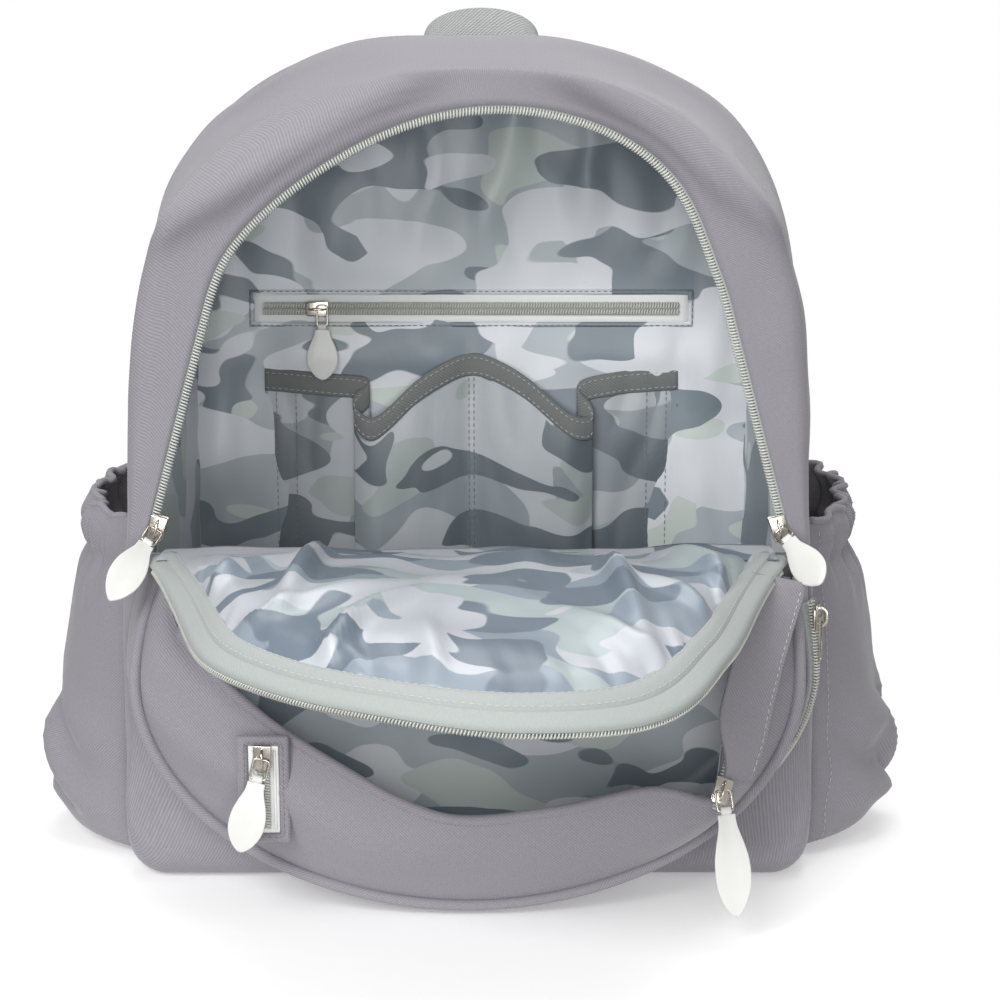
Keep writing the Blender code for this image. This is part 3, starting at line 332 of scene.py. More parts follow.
def plasticMaterial(name, look, coordinates="Object"):
    made, tree, shader, vector = startMaterial(name, coordinates)
    age = useGroup(tree, handling, vector, Size=look.get("cloudSize", 60.0))
    tone = colourMix(tree, age.outputs["Cloud"], look["dark"], look["light"])
    worn = colourMix(tree, maths(tree, "MULTIPLY", age.outputs["Rub"], look.get("wear", 0.2)), tone,
        look["worn"])
    tree.links.new(worn, shader.inputs["Base Color"])
    tree.links.new(maths(tree, "ADD", maths(tree, "MULTIPLY", age.outputs["Rub"],
        look.get("rubRough", 0.12)), look["rough"]), shader.inputs["Roughness"])
    shader.inputs["Metallic"].default_value = look.get("metal", 0.0)
    shader.inputs["Coat Weight"].default_value = look.get("coat", 0.0)
    shader.inputs["Subsurface Weight"].default_value = look.get("glow", 0.0)
    shader.inputs["Subsurface Radius"].default_value = (0.002, 0.002, 0.002)
    grain = noiseOf(tree, vector, look.get("grain", 900.0), 3.0, 0.6)
    addBump(tree, shader, grain, look.get("bump", 0.15), look.get("depth", 0.0002))
    return made


coilNylon = plasticMaterial("coilNylon", dict(dark=(0.50, 0.51, 0.475), light=(0.62, 0.63, 0.585),
    worn=(0.44, 0.44, 0.41), rough=0.38, coat=0.2))
pullCoated = plasticMaterial("pullCoated", dict(dark=(0.64, 0.64, 0.615), light=(0.70, 0.70, 0.675),
    worn=(0.56, 0.555, 0.53), rough=0.42, bump=0.3, grain=1400.0, coat=0.15, wear=0.12))
nickel = plasticMaterial("nickel", dict(dark=(0.50, 0.46, 0.40), light=(0.66, 0.62, 0.56),
    worn=(0.36, 0.31, 0.25), rough=0.24, metal=1.0, wear=0.5, rubRough=0.25, bump=0.08))
boardPlastic = plasticMaterial("boardPlastic", dict(dark=(0.035, 0.035, 0.037), light=(0.06, 0.06, 0.062),
    worn=(0.12, 0.12, 0.12), rough=0.5, bump=0.4, grain=700.0))
paleFloor = plasticMaterial("paleFloor", dict(dark=(0.93, 0.93, 0.93), light=(0.95, 0.95, 0.95),
    worn=(0.93, 0.93, 0.93), rough=0.75, bump=0.0, cloudSize=2.0))
floorTree = paleFloor.node_tree
span = floorTree.nodes.new("ShaderNodeVectorMath")
span.operation = "LENGTH"
floorTree.links.new(next(n for n in floorTree.nodes if n.type == "TEX_COORD").outputs["Object"],
    span.inputs[0])
fade = softStep(floorTree, span.outputs["Value"], 0.42, 0.10)
floorTree.nodes["Principled BSDF"].inputs["Emission Color"].default_value = (1, 1, 1, 1)
floorTree.nodes["Principled BSDF"].inputs["Emission Strength"].default_value = 0.22
floorTree.links.new(fade, floorTree.nodes["Principled BSDF"].inputs["Alpha"])
print("materials made")


# shape helpers

def lerp(a, b, share):
    return a + (b - a) * share


def clamp(value, low=0.0, high=1.0):
    return max(low, min(high, value))


def ease(value, low=0.0, high=1.0):
    t = clamp((value - low) / (high - low))
    return t * t * (3 - 2 * t)


def hump(value, centre, width):
    return math.exp(-(((value - centre) / width) ** 2))


def ripple(x, y, z=0.0, size=0.03):
    return noise.noise(Vector((x / size, y / size, z / size)))


def smoothPath(points, steps):
    places = [Vector(p) for p in points]
    ends = [places[0] * 2 - places[1], *places, places[-1] * 2 - places[-2]]
    found = []
    for k in range(steps + 1):
        at = k / steps * (len(places) - 1)
        i = min(int(at), len(places) - 2)
        t = at - i
        a, b, c, d = ends[i : i + 4]
        found.append(0.5 * (2 * b + (c - a) * t + (2 * a - 5 * b + 4 * c - d) * t**2
            + (3 * b - a - 3 * c + d) * t**3))
    return found


def evenPath(points, step):
    lengths = [0.0]
    for a, b in zip(points, points[1:]):
        lengths.append(lengths[-1] + (b - a).length)
    count = max(2, round(lengths[-1] / step))
    found, i = [], 0
    for k in range(count + 1):
        at = lengths[-1] * k / count
        while i < len(points) - 2 and lengths[i + 1] < at:
            i += 1
        found.append(points[i].lerp(points[i + 1], clamp((at - lengths[i])
            / max(lengths[i + 1] - lengths[i], 1e-9))))
    return found


def runs(points):
    found = [0.0]
    for a, b in zip(points, points[1:]):
        found.append(found[-1] + (b - a).length)
    return found


def finish(name, data, finishOf, body, nodes=(), blend=None, smooth=True):
    made = bpy.data.objects.new(name, data)
    scene.collection.objects.link(made)
    data.materials.append(finishOf)
    if smooth:
        data.shade_smooth()
    if blend:
        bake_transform(made)
    else:
        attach(made, body)
    if nodes:
        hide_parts(*nodes)
    return made


def clothGrid(name, rows, closed=False, caps=False, flatUv=None):
    across, along = len(rows[0]) - 1, len(rows) - 1
    mesh = bmesh.new()
    bmesh.ops.create_grid(mesh, x_segments=across, y_segments=along, size=1.0)
    us, vs = runs(rows[along // 2]), runs([row[across // 2] for row in rows])
    layer = mesh.loops.layers.uv.new("cloth")
    spots = {}
    for vertex in mesh.verts:
        spots[vertex.index] = (round((vertex.co.x + 1) / 2 * across), round((vertex.co.y + 1) / 2 * along))
    for face in mesh.faces:
        for loop in face.loops:
            i, j = spots[loop.vert.index]
            loop[layer].uv = flatUv(rows[j][i]) if flatUv else (us[i], vs[j])
    for vertex in mesh.verts:
        i, j = spots[vertex.index]
        vertex.co = rows[j][i]
    if closed:
        bmesh.ops.remove_doubles(mesh, verts=mesh.verts, dist=1e-6)
        if caps:
            bmesh.ops.holes_fill(mesh, edges=[e for e in mesh.edges if e.is_boundary], sides=0)
    data = bpy.data.meshes.new(name)
    mesh.to_mesh(data)
    mesh.free()
    return data


def addThickness(made, thickness, side=-1.0):
    solidify = made.modifiers.new("thickness", "SOLIDIFY")
    solidify.thickness = thickness
    solidify.offset = side
    solidify.use_even_offset = False
    return made


def sweptRows(path, section, facing, scales=None):
    rows = []
    for k, place in enumerate(path):
        ahead = path[min(k + 1, len(path) - 1)] - path[max(k - 1, 0)]
        way = ahead.normalized()
        up = facing[k] if isinstance(facing, list) else Vector(facing)
        sideways = way.cross(up).normalized()
        up = sideways.cross(way).normalized()
        size = scales[k] if scales else 1.0
        rows.append([place + sideways * (a * size) + up * (b * size) for a, b in section])
    return rows


def roundSection(radiusX, radiusY=None, sides=10):
    radiusY = radiusY or radiusX
    return [(radiusX * math.cos(2 * math.pi * k / sides), -radiusY * math.sin(2 * math.pi * k / sides))
        for k in range(sides + 1)]


def strapSection(halfWidth, halfThick, corner=None, steps=3):
    corner = corner or halfThick * 0.9
    found = []
    for sx, sy, first in ((1, -1, -90), (1, 1, 0), (-1, 1, 90), (-1, -1, 180)):
        for k in range(steps + 1):
            a = math.radians(first + 90 * k / steps)
            found.append((sx * (halfWidth - corner) + corner * math.cos(a),
                sy * (halfThick - corner) + corner * math.sin(a)))
    found = [(a, -b) for a, b in found]
    return found + [found[0]]


def tube(name, path, radius, facing=(0, 0, 1), sides=10, scales=None, flat=1.0):
    rows = sweptRows(path, roundSection(radius, radius * flat, sides), facing, scales=scales)
    return clothGrid(name, rows, closed=True, caps=True)


def coilPath(path, facing, halfWidth, halfHeight, pitch, perTurn=8):
    dense = evenPath(path, pitch / perTurn)
    found = []
    for k, place in enumerate(dense):
        way = (dense[min(k + 1, len(dense) - 1)] - dense[max(k - 1, 0)]).normalized()
        up = Vector(facing)
        sideways = way.cross(up).normalized()
        up = sideways.cross(way)
        angle = 2 * math.pi * k / perTurn
        found.append(place + sideways * math.cos(angle) * halfWidth + up * math.sin(angle) * halfHeight)
    return found


def coil(name, path, finishOf, body, nodes=(), facing=(0, -1, 0), halfWidth=0.0016, halfHeight=0.0011,
    pitch=0.00135, wire=0.00042, perTurn=8):
    helix = coilPath(path, facing, halfWidth, halfHeight, pitch, perTurn)
    rows = sweptRows(helix, roundSection(wire, wire, 5), facing)
    data = clothGrid(name, rows, closed=True, caps=True)
    return finish(name, data, finishOf, body, nodes)


def stitches(name, paths, finishOf, body, spacing=0.0033, length=0.0022, width=0.00042,
    facing=(0, -1, 0), blend=None):
    mesh = bmesh.new()
    for path in paths:
        for a, b in [(p, q) for p, q in zip(evenPath(path, spacing), evenPath(path, spacing)[1:])]:
            way = (b - a).normalized()
            up = Vector(facing)
            sideways = way.cross(up)
            if sideways.length < 1e-4:
                continue
            sideways.normalize()
            up = sideways.cross(way)
            turn = Matrix((way, sideways, up)).transposed().to_4x4()
            place = Matrix.Translation((a + b) / 2) @ turn @ Matrix.Diagonal((length / 2, width / 2,
                width / 2 * 0.8, 1))
            bmesh.ops.create_uvsphere(mesh, u_segments=6, v_segments=4, radius=1.0,
                matrix=place @ Matrix.Rotation(math.pi / 2, 4, "Y"))
    data = bpy.data.meshes.new(name)
    mesh.to_mesh(data)
    mesh.free()
    return finish(name, data, finishOf, body, blend=blend)


# outlines of the bag and its opening, as sewn

bagSize = dict(
    halfWidth=0.155, height=0.374, shoulder=0.184, baseCorner=0.018, roundness=2.8, frontY=-0.078,
        backY=0.066,
    hingeZ=0.146, openHalf=0.142, openHeight=0.195, lean=math.radians(15), openCorner=0.004,
    steps=(20, 10, 10, 26, 44), footZ=0.138, headZ=0.246, tilt=0.0138, droop=0.0020, topFall=0.0060,
)
leanCos, leanSin = math.cos(bagSize["lean"]), math.sin(bagSize["lean"])
archR = (bagSize["openHalf"] * leanCos - bagSize["openHeight"] * leanSin) / (1 - leanSin)
archZ = bagSize["hingeZ"] + bagSize["openHeight"] - archR


def tilted(x, z, share=0.0):
    near = (1 - share) ** 1.2
    return x + bagSize["tilt"] * ease(z, 0.268, 0.336) * near, z - bagSize["droop"] * ease(z, 0.255,
        0.345) * near


def drawnIn(x, z, y):  # the front edge sits inside the back seam, so sides and top run inwards
    share = 1 - ease(y, -0.062, 0.022)
    high = ease(z, 0.20, 0.374)
    return x * (1 - share * (0.018 + 0.022 * ease(z, 0.10, 0.17)
        + 0.012 * high)), topSunk(z) - 0.0165 * share * high**1.5


def topSunk(z):
    return z - bagSize["topFall"] * ease(z, 0.29, 0.374)


def legX(z, inset):
    return ((archR - inset) + (archZ - z) * leanSin) / leanCos


def archHalf(inset, footZ, sideSteps, topSteps):
    radius = archR - inset
    start = (legX(footZ, inset), footZ)
    end = (radius * leanCos, archZ + radius * leanSin)
    side = [(lerp(start[0], end[0], k / sideSteps), lerp(start[1], end[1], k / sideSteps))
        for k in range(sideSteps)]
    turn = math.pi / 2 - bagSize["lean"]
    top = [(radius * math.cos(bagSize["lean"] + turn * k / topSteps),
        archZ + radius * math.sin(bagSize["lean"] + turn * k / topSteps)) for k in range(topSteps + 1)]
    return side + top


def archLine(inset, foot, y, sideSteps=26, topSteps=44):
    half = archHalf(inset, bagSize["hingeZ"] + foot, sideSteps, topSteps)
    both = half + [(-x, z) for x, z in half[-2::-1]]
    found = []
    for x, z in both:
        x, z = tilted(x, z)
        found.append(Vector((x, y, z)))
    return found


def openingHalf(inset=0.0):
    base, corner, lower, side, top = bagSize["steps"]
    footZ = bagSize["hingeZ"] + inset
    width = legX(footZ, inset)
    straight = base + corner
    found = [(width * 0.97 * k / straight, footZ) for k in range(straight)]
    found += [(lerp(width * 0.97, width, k / lower), footZ + bagSize["openCorner"] * (k / lower) ** 2)
        for k in range(lower)]
    return found + archHalf(inset, footZ + bagSize["openCorner"], side, top)


def bagHalf(inset=0.0, floor=0.0):
    base, corner, lower, side, top = bagSize["steps"]
    width = bagSize["halfWidth"] - inset
    height = bagSize["height"] - inset
    bend = bagSize["baseCorner"] - inset
    shoulder, power = bagSize["shoulder"], bagSize["roundness"]
    rise = height - shoulder
    found = [((width - bend) * k / base, floor) for k in range(base)]
    found += [(width - bend + bend * math.sin(math.pi / 2 * k / corner),
        floor + bend * (1 - math.cos(math.pi / 2 * k / corner))) for k in range(corner)]
    heights = [lerp(floor + bend, bagSize["footZ"], k / lower) for k in range(lower)]
    heights += [lerp(bagSize["footZ"], bagSize["headZ"], k / side) for k in range(side)]
    found += [(width * (1 - max(0.0, (z - shoulder) / rise) ** power) ** (1 / power), z) for z in heights]
    first = math.asin(((bagSize["headZ"] - shoulder) / rise) ** (power / 2))
    for k in range(top):
        a = lerp(first, math.pi / 2, k / top)
        found.append((width * math.cos(a) ** (2 / power), shoulder + rise * math.sin(a) ** (2 / power)))
    return found + [(0.0, height)]


def wholeLoop(half):
    return half + [(-x, z) for x, z in half[-2:0:-1]] + [half[0]]


shellProfile = smoothPath([(0, -0.078, 0), (0.5, -0.0777, 0), (0.8, -0.0755, 0), (0.95, -0.069, 0),
    (1, -0.052, 0), (1, -0.010, 0), (1, 0.030, 0), (1, 0.066, 0)], 42)

creases = (  # soft folds over the top: start and end in x, z, depth, width
    ((-0.141, 0.285), (-0.028, 0.350), 1.9, 0.0011),
    ((0.040, 0.3600), (0.138, 0.290), 2.0, 0.0011),
)


def creaseShift(x, z):
    back = 0.0
    for (ax, az), (bx, bz), slope, width in creases:
        wayX, wayZ = bx - ax, bz - az
        size = math.hypot(wayX, wayZ)
        t = ((x - ax) * wayX + (z - az) * wayZ) / size**2
        beyond = ((z - az) * wayX - (x - ax) * wayZ) / size
        fade = ease(t, -0.22, 0.10) * (1 - ease(t, 0.92, 1.22))
        soft = width * math.log1p(math.exp(clamp(beyond / width, -30, 30)))
        ridge = -0.0080 * hump(beyond, -0.0025, 0.0080)
        back += fade * (min(soft, 0.030) * slope + ridge)
    return back


def shellRows(inset=0.0, floor=0.0, wrinkled=1.0, rim=0.0):
    inner, outer = wholeLoop(openingHalf(rim)), wholeLoop(bagHalf(inset, floor))
    rows = []
    for p in shellProfile:
        share, y = clamp(p.x), p.y
        depth = y + inset * (1.25 if share < 0.9 else 0.5)
        row = []
        for (ax, az), (bx, bz) in zip(inner, outer):
            x, z = lerp(ax, bx, share), lerp(az, bz, share)
            x, z = tilted(x, z, share)
            pulledX, pulledZ = drawnIn(x, z, y)
            sideways = ease(share, 0.35, 1.0)
            x, z = lerp(x, pulledX, sideways), lerp(z, pulledZ, sideways)
            free = ease(share, 0.03, 0.35) * (1 - ease(y, 0.050, 0.066))
            wave = 0.0045 * ripple(x, y * 0.6, z, 0.075) + 0.0010 * ripple(x + 3, y, z, 0.028)
            low = 1 - ease(z, 0.0, 0.02)
            back = creaseShift(x, z) * ease(share, 0.02,
                0.3) * (1 - ease(y, -0.055, 0.025)) if wrinkled and z > 0.26 else 0.0
            push = wave * wrinkled * free * (1 - low)
            out = Vector((x, 0, z - 0.16)).normalized() if share > 0.9 else Vector((0, 0, 0))
            blend = ease(share, 0.85, 1.0)
            sag = 0.013 * (1 - ease(z, 0.0, 0.055)) * ease(share, 0.5,
                0.9) * (1 - ease(y, -0.055, 0.0)) * (inset < 0.001)
            row.append(Vector((x, depth - push * (1 - blend) - sag + back, z))
                + out * (push * blend - 0.0012 * blend * (1 - low)))
        rows.append(row)
    return rows


# main shell

shellRowsNow = shellRows()
shell = finish("bag_shell", clothGrid("bag_shell", shellRowsNow, closed=True), greyCanvas, "bag",
    ("front_wall", "side_panel_l", "side_panel_r", "top_band", "base_panel"))
addThickness(shell, 0.0013, -1.0)
print("shell made")

# lining

liningRows = shellRows(0.0034, 0.0034, 0.4)
liningRows = [[Vector((p.x, min(p.y, 0.0575), p.z)) for p in row] for row in liningRows]


def liningFold(p):
    return 0.0022 * ripple(p.x, p.y, p.z, 0.05) + 0.0012 * ripple(p.x + 1, p.y + 2, p.z, 0.02)


for j, row in enumerate(liningRows):
    row[:] = [Vector((p.x * (1 - 0.115 * ease(p.y, -0.05, 0.057)), p.y,
        p.z - 0.010 * ease(p.y, -0.04, 0.057) * ease(p.z, 0.25, 0.37))) for p in row]
    keep = ease(j / len(liningRows), 0.1, 0.3)
    for i, p in enumerate(row):
        inward = Vector((-p.x, 0, 0.16 - p.z)).normalized()
        row[i] = p + inward * (abs(liningFold(p)) + 0.0006) * keep
lining = finish("lining_sides", clothGrid("lining_sides", liningRows, closed=True), camoInside, "bag",
    ("lining_band",))
addThickness(lining, 0.0006, -1.0)


def backLiningPoint(x, z):
    calm = 1 - max(hump(z, 0.240, 0.016) * (1 - ease(abs(x), 0.105, 0.125)),
        (1 - ease(abs(x), 0.098, 0.118)) * (1 - ease(z, 0.200, 0.222)) * 0.9)
    folds = abs(ripple(x * 2.2, 0, z * 0.7, 0.06)) * 0.0050
    folds += abs(ripple(x * 1.3 + 4, 2, z + x * 0.4, 0.045)) * 0.0035
    drape = 0.006 * hump(x, 0.012 + (z - 0.3) * 0.25, 0.010) * ease(z, 0.262, 0.30)
    drape += 0.005 * hump(x, 0.055, 0.008) * ease(z, 0.262, 0.31)
    return 0.0580 - calm * (folds + drape)


backRows = []
for k in range(61):
    z = lerp(0.0045, 0.3695, k / 60)
    rise = bagSize["height"] - 0.0036 - bagSize["shoulder"]
    width = (bagSize["halfWidth"] - 0.004) * (1 - clamp((z - bagSize["shoulder"]) / rise, 0,
        0.9995) ** 2.8) ** (1 / 2.8)
    if z < 0.034:
        width = min(width, 0.121 + math.sqrt(max(0.0, 0.0304**2 - (0.034 - z) ** 2)))
    backRows.append([Vector((width * (i / 40 - 1), backLiningPoint(width * (i / 40 - 1), z), topSunk(z)))
        for i in range(81)])
backLining = finish("lining_back_wall", clothGrid("lining_back_wall", backRows,
    flatUv=lambda p: (p.x, p.z)), camoInside, "bag", ("lining_back",))
addThickness(backLining, 0.0005, 1.0)
print("lining made")

# zip round the opening

rimZip = dict(coilInset=0.0019, y=-0.0772)
coil("opening_coil", archLine(rimZip["coilInset"], 0.0025, rimZip["y"]), coilNylon, "bag",
    ("arch_zip_coil",), halfWidth=0.0019, halfHeight=0.0012)
cordPath = archLine(0.0001, 0.0025, -0.0776)
cordData = tube("opening_cord", cordPath, 0.00085, (0, -1, 0), 8)
finish("opening_cord", cordData, zipTape, "bag")
tapeRows = [archLine(inset, 0.006, y) for inset, y in ((-0.0042, -0.0757), (-0.0020, -0.0757),
    (0.0006, -0.0758), (0.0014, -0.0760))]
tape = finish("opening_tape", clothGrid("opening_tape", tapeRows), zipTape, "bag",
    ("arch_zip_tape",))
addThickness(tape, 0.0008, 0.0)
rimStitch = archLine(-0.0032, 0.004, -0.0783)
stitches("opening_stitches", [rimStitch], threadGrey, "bag", spacing=0.0034, length=0.0023,
    width=0.0004)
print("opening zip made")

# inner zip pocket

innerZip = dict(z=0.240, half=0.105, tapeHalf=0.0075, y=0.0574, coilHalf=0.100, coilGap=0.00145,
    coilY=0.0556)


def plateGrid(name, corners, columns, rowsCount, bumpy=0.0, normal=(0, -1, 0)):
    a, b, c, d = [Vector(p) for p in corners]
    rows = []
    for j in range(rowsCount + 1):
        left, right = a.lerp(d, j / rowsCount), b.lerp(c, j / rowsCount)
        row = []
        for i in range(columns + 1):
            p = left.lerp(right, i / columns)
            edge = min(i, columns - i, j, rowsCount - j)
            row.append(p + Vector(normal) * (bumpy * ripple(p.x, p.y, p.z, 0.02) * (1 if edge else 0)))
        rows.append(row)
    return clothGrid(name, rows)


h, zipZ, tapeY = innerZip["half"], innerZip["z"], innerZip["y"]
low, high = zipZ - innerZip["tapeHalf"], zipZ + innerZip["tapeHalf"]
data = plateGrid("inner_zip_band", ((-h, tapeY, low), (h, tapeY, low), (h, tapeY, high), (-h, tapeY, high)),
    60, 6, 0.0003)
band = finish("inner_zip_band", data, whiteTape, "bag", ("inner_zip_tape",))
addThickness(band, 0.0009, 0.0)
for k, dz in enumerate((-innerZip["coilGap"], innerZip["coilGap"])):
    coilEnds = [Vector((x, innerZip["coilY"], zipZ + dz))
        for x in (-innerZip["coilHalf"], innerZip["coilHalf"])]
    coil(f"inner_coil_{k}", coilEnds, coilNylon, "bag",
         ("inner_zip_coil",) if k == 0 else (), halfWidth=0.0013, halfHeight=0.0008, pitch=0.0013,
             wire=0.00052)


def windowFrame(name, halfX, halfZ, centre, rim, y, finishOf, body, wave=0.0):
    cx, cz = centre
    rows = []
    for out, back in ((0.0, 0.0004), (0.0, 0.0), (0.5, -0.0003), (1.0, 0.0), (1.0, 0.0005)):
        row = []
        for k in range(97):
            a = 2 * math.pi * k / 96
            px, pz = math.cos(a), math.sin(a)
            big = max(abs(px) / 1.0, abs(pz) / 1.0)
            px, pz = px / big, pz / big
            x = cx + px * (halfX + rim * out)
            z = cz + pz * (halfZ + rim * out)
            row.append(Vector((x, y + back + wave * ripple(x, 1, z, 0.015), z)))
        rows.append(row)
    return finish(name, clothGrid(name, rows, closed=True, flatUv=lambda p: (p.x, p.z)), finishOf, body)


windowFrame("inner_zip_lip", h - 0.0005, 0.0066, (0, zipZ), 0.0024, 0.0566, camoInside, "bag",
    0.0008)


def boxPath(x0, x1, z0, z1, y):
    return [Vector((x0, y, z0)), Vector((x1, y, z0)), Vector((x1, y, z1)), Vector((x0, y, z1)),
        Vector((x0, y, z0))]


stitches("inner_zip_stitches", [boxPath(-h - 0.0015, h + 0.0015, zipZ - 0.0082, zipZ + 0.0082, 0.0558)],
    threadGrey, "bag",
         spacing=0.0030, length=0.0022, width=0.0005)
print("inner zip made")

# organiser with two pleated pouches

slipPlan = ((-0.100, 0.0576), (-0.085, 0.0571), (-0.068, 0.0560), (-0.052, 0.0556), (-0.0500, 0.0546),
    (-0.0555, 0.0525), (-0.0560, 0.0505),
            (-0.046, 0.0468), (-0.026, 0.0500), (-0.010, 0.0545), (0.0, 0.0572), (0.010, 0.0545),
                (0.026, 0.0500), (0.047, 0.0468), (0.0580, 0.0505),
            (0.0575, 0.0525), (0.0520, 0.0546), (0.054, 0.0556), (0.069, 0.0560), (0.085, 0.0571),
                (0.100, 0.0576))
slipTop = (0.2105, 0.2095, 0.2080, 0.2065, 0.2030, 0.1985, 0.1930,
           0.1880, 0.2055, 0.2150, 0.2178, 0.2158, 0.2075, 0.1900, 0.1880,
           0.1935, 0.2000, 0.2050, 0.2085, 0.2100, 0.2110)
slipCurve = smoothPath([(x, y, z) for (x, y), z in zip(slipPlan, slipTop)], 160)
slipBase = smoothPath([(x, lerp(0.0578, y, 0.55), 0.060) for x, y in slipPlan], 160)
slipRows = []
for j in range(31):
    t = j / 30
    row = []
    for p, q in zip(slipBase, slipCurve):
        x, y, z = lerp(p.x, q.x, t), lerp(p.y, q.y, ease(t, 0.0, 0.5)), lerp(p.z, q.z, t)
        free = ease(min(abs(x), abs(abs(x) - 0.1)), 0.0, 0.012) * ease(t, 0.0, 0.15)
        y -= free * (0.0016 * abs(ripple(x * 2.0, 0, z * 0.6, 0.03)) + 0.0010 * ripple(x, 1, z, 0.05))
        row.append(Vector((x, min(y, 0.0574), z)))
    slipRows.append(row)
slip = finish("slip_pocket_cloth", clothGrid("slip_pocket_cloth", slipRows), camoPocketPaintedShade, "bag",
    ("slip_pocket",))
addThickness(slip, 0.0006, -1.0)
hemPath = [Vector((p.x, p.y, p.z)) for p in slipRows[-1]]
hemRows = []
for drop, front in ((0.0105, -0.0007), (0.0098, -0.0010), (0.0050, -0.0012), (0.0004, -0.0011),
    (-0.0006, -0.0003), (-0.0003, 0.0007), (0.0030, 0.0010)):
    hemRows.append([Vector((p.x, p.y + front, p.z - drop)) for p in hemPath])
slipHem = finish("slip_pocket_binding", clothGrid("slip_pocket_binding", hemRows), hemCanvas, "bag",
    ("slip_pocket_hem",))
addThickness(slipHem, 0.0005, -1.0)
frontOf = lambda drop, out: [Vector((p.x, p.y - out, p.z - drop)) for p in hemPath]
stitches("slip_hem_stitches", [frontOf(0.0088, 0.0014), frontOf(0.0016, 0.0015)], threadPale, "bag",
    spacing=0.0030, length=0.0019, width=0.0004)
edgeStitch = []
for column in (3, 8, 152, 157, 79, 81):
    edgeStitch.append([Vector((row[column].x, row[column].y - 0.0005, row[column].z))
        for row in slipRows[:29]])
stitches("slip_edge_stitches", edgeStitch, threadGrey, "bag", spacing=0.0032, length=0.0022,
    width=0.00045)
print("organiser made")

# flap, drawn flat from its hinge and folded forward

flapSize = dict(hinge=Vector((0, -0.080, 0.146)), turn=math.radians(98), inset=0.0115)
flapWay = Vector((0, -math.sin(flapSize["turn"]), math.cos(flapSize["turn"])))
flapUp = Vector((0, math.cos(flapSize["turn"]), math.sin(flapSize["turn"])))


def flapSag(x, h):
    far, z = clamp(h / 0.19), bagSize["hingeZ"] + h
    if z > archZ + archR * leanSin:
        depth = archR - math.hypot(x, z - archZ)
    else:
        depth = (legX(z, 0) - abs(x)) * leanCos
    sag = 0.0100 * ease(far, 0.0, 0.6) + 0.0020 * math.sin(math.pi * far)
    sag -= 0.0105 * (1 - ease(depth, 0.004, 0.027)) * ease(h, 0.02, 0.10)
    sag -= 0.0050 * hump(x, 0.066, 0.040) * far**2
    sag += 0.0030 * hump(x, -0.045, 0.035) * far**2
    sag += 0.0018 * ripple(x, h, 0, 0.06) * ease(far, 0.05, 0.3)
    return sag


def flapPoint(x, z, up=0.0):
    h = z - bagSize["hingeZ"]
    aside = bagSize["tilt"] * ease(z, 0.268, 0.336)
    return flapSize["hinge"] + Vector((x * (1 + 0.024 * (1 - ease(h, 0.0, 0.085))) + aside, 0,
        0)) + flapWay * h + flapUp * (flapSag(x, h) + up)


def flapArch(inset, foot, up=0.0, sideSteps=30, topSteps=50):
    half = archHalf(inset, bagSize["hingeZ"] + foot, sideSteps, topSteps)
    both = half + [(-x, z) for x, z in half[-2::-1]]
    return [flapPoint(x, z, up) for x, z in both]


def flapField(inset, foot, columns, rowsCount, up, puff=None):
    half = archHalf(inset, bagSize["hingeZ"] + foot, 40, 60)
    both = [(-x, z) for x, z in half] + [(x, z) for x, z in half[-2::-1]]
    edge = [Vector((x, 0, z)) for x, z in both]
    lengths = runs(edge)
    startAt, total = 0.035, lengths[-1]
    rows = [[] for _ in range(rowsCount + 1)]
    for i in range(columns + 1):
        at = lerp(startAt, total - startAt, i / columns)
        k = 0
        while k < len(edge) - 2 and lengths[k + 1] < at:
            k += 1
        head = edge[k].lerp(edge[k + 1], clamp((at - lengths[k]) / (lengths[k + 1] - lengths[k])))
        width = abs(edge[0].x)
        base = Vector((lerp(-width, width, i / columns), 0, bagSize["hingeZ"] + foot))
        for j in range(rowsCount + 1):
            t = j / rowsCount
            p = base.lerp(head, t)
            near = min((1 - t) * (head - base).length, i / columns * 0.30, (1 - i / columns) * 0.30)
            rows[j].append(flapPoint(p.x, p.z, up + (puff(p.x, p.z - bagSize["hingeZ"], near, at) if puff
                else 0.0)))
    return rows


def liningPuff(x, h, near, at):
    pucker = 0.0030 * math.exp(-near / 0.014) * math.sin(at * 2 * math.pi / 0.0195
        + 7 * ripple(at, 0, 0, 0.04)) * abs(ripple(at, 7, 0, 0.025)) * 1.6 * ease(near, 0.0, 0.003)
    radial = 0.0
    for fx, fh, bend, size, high in flapFolds:
        d = (x - fx) * math.cos(bend) + (h - fh) * math.sin(bend)
        along = -(x - fx) * math.sin(bend) + (h - fh) * math.cos(bend)
        radial += high * hump(d, 0, size) * hump(along, 0, 0.045)
    pillow = 0.0050 * ease(near, 0.0, 0.030) * ease(h, 0.0, 0.03)
    return (pillow + radial * ease(near, 0.0, 0.012) + pucker
        + 0.0042 * ripple(x + 5, h, 0, 0.035) * ease(near, 0, 0.02)) * ease(h, 0.0, 0.012)


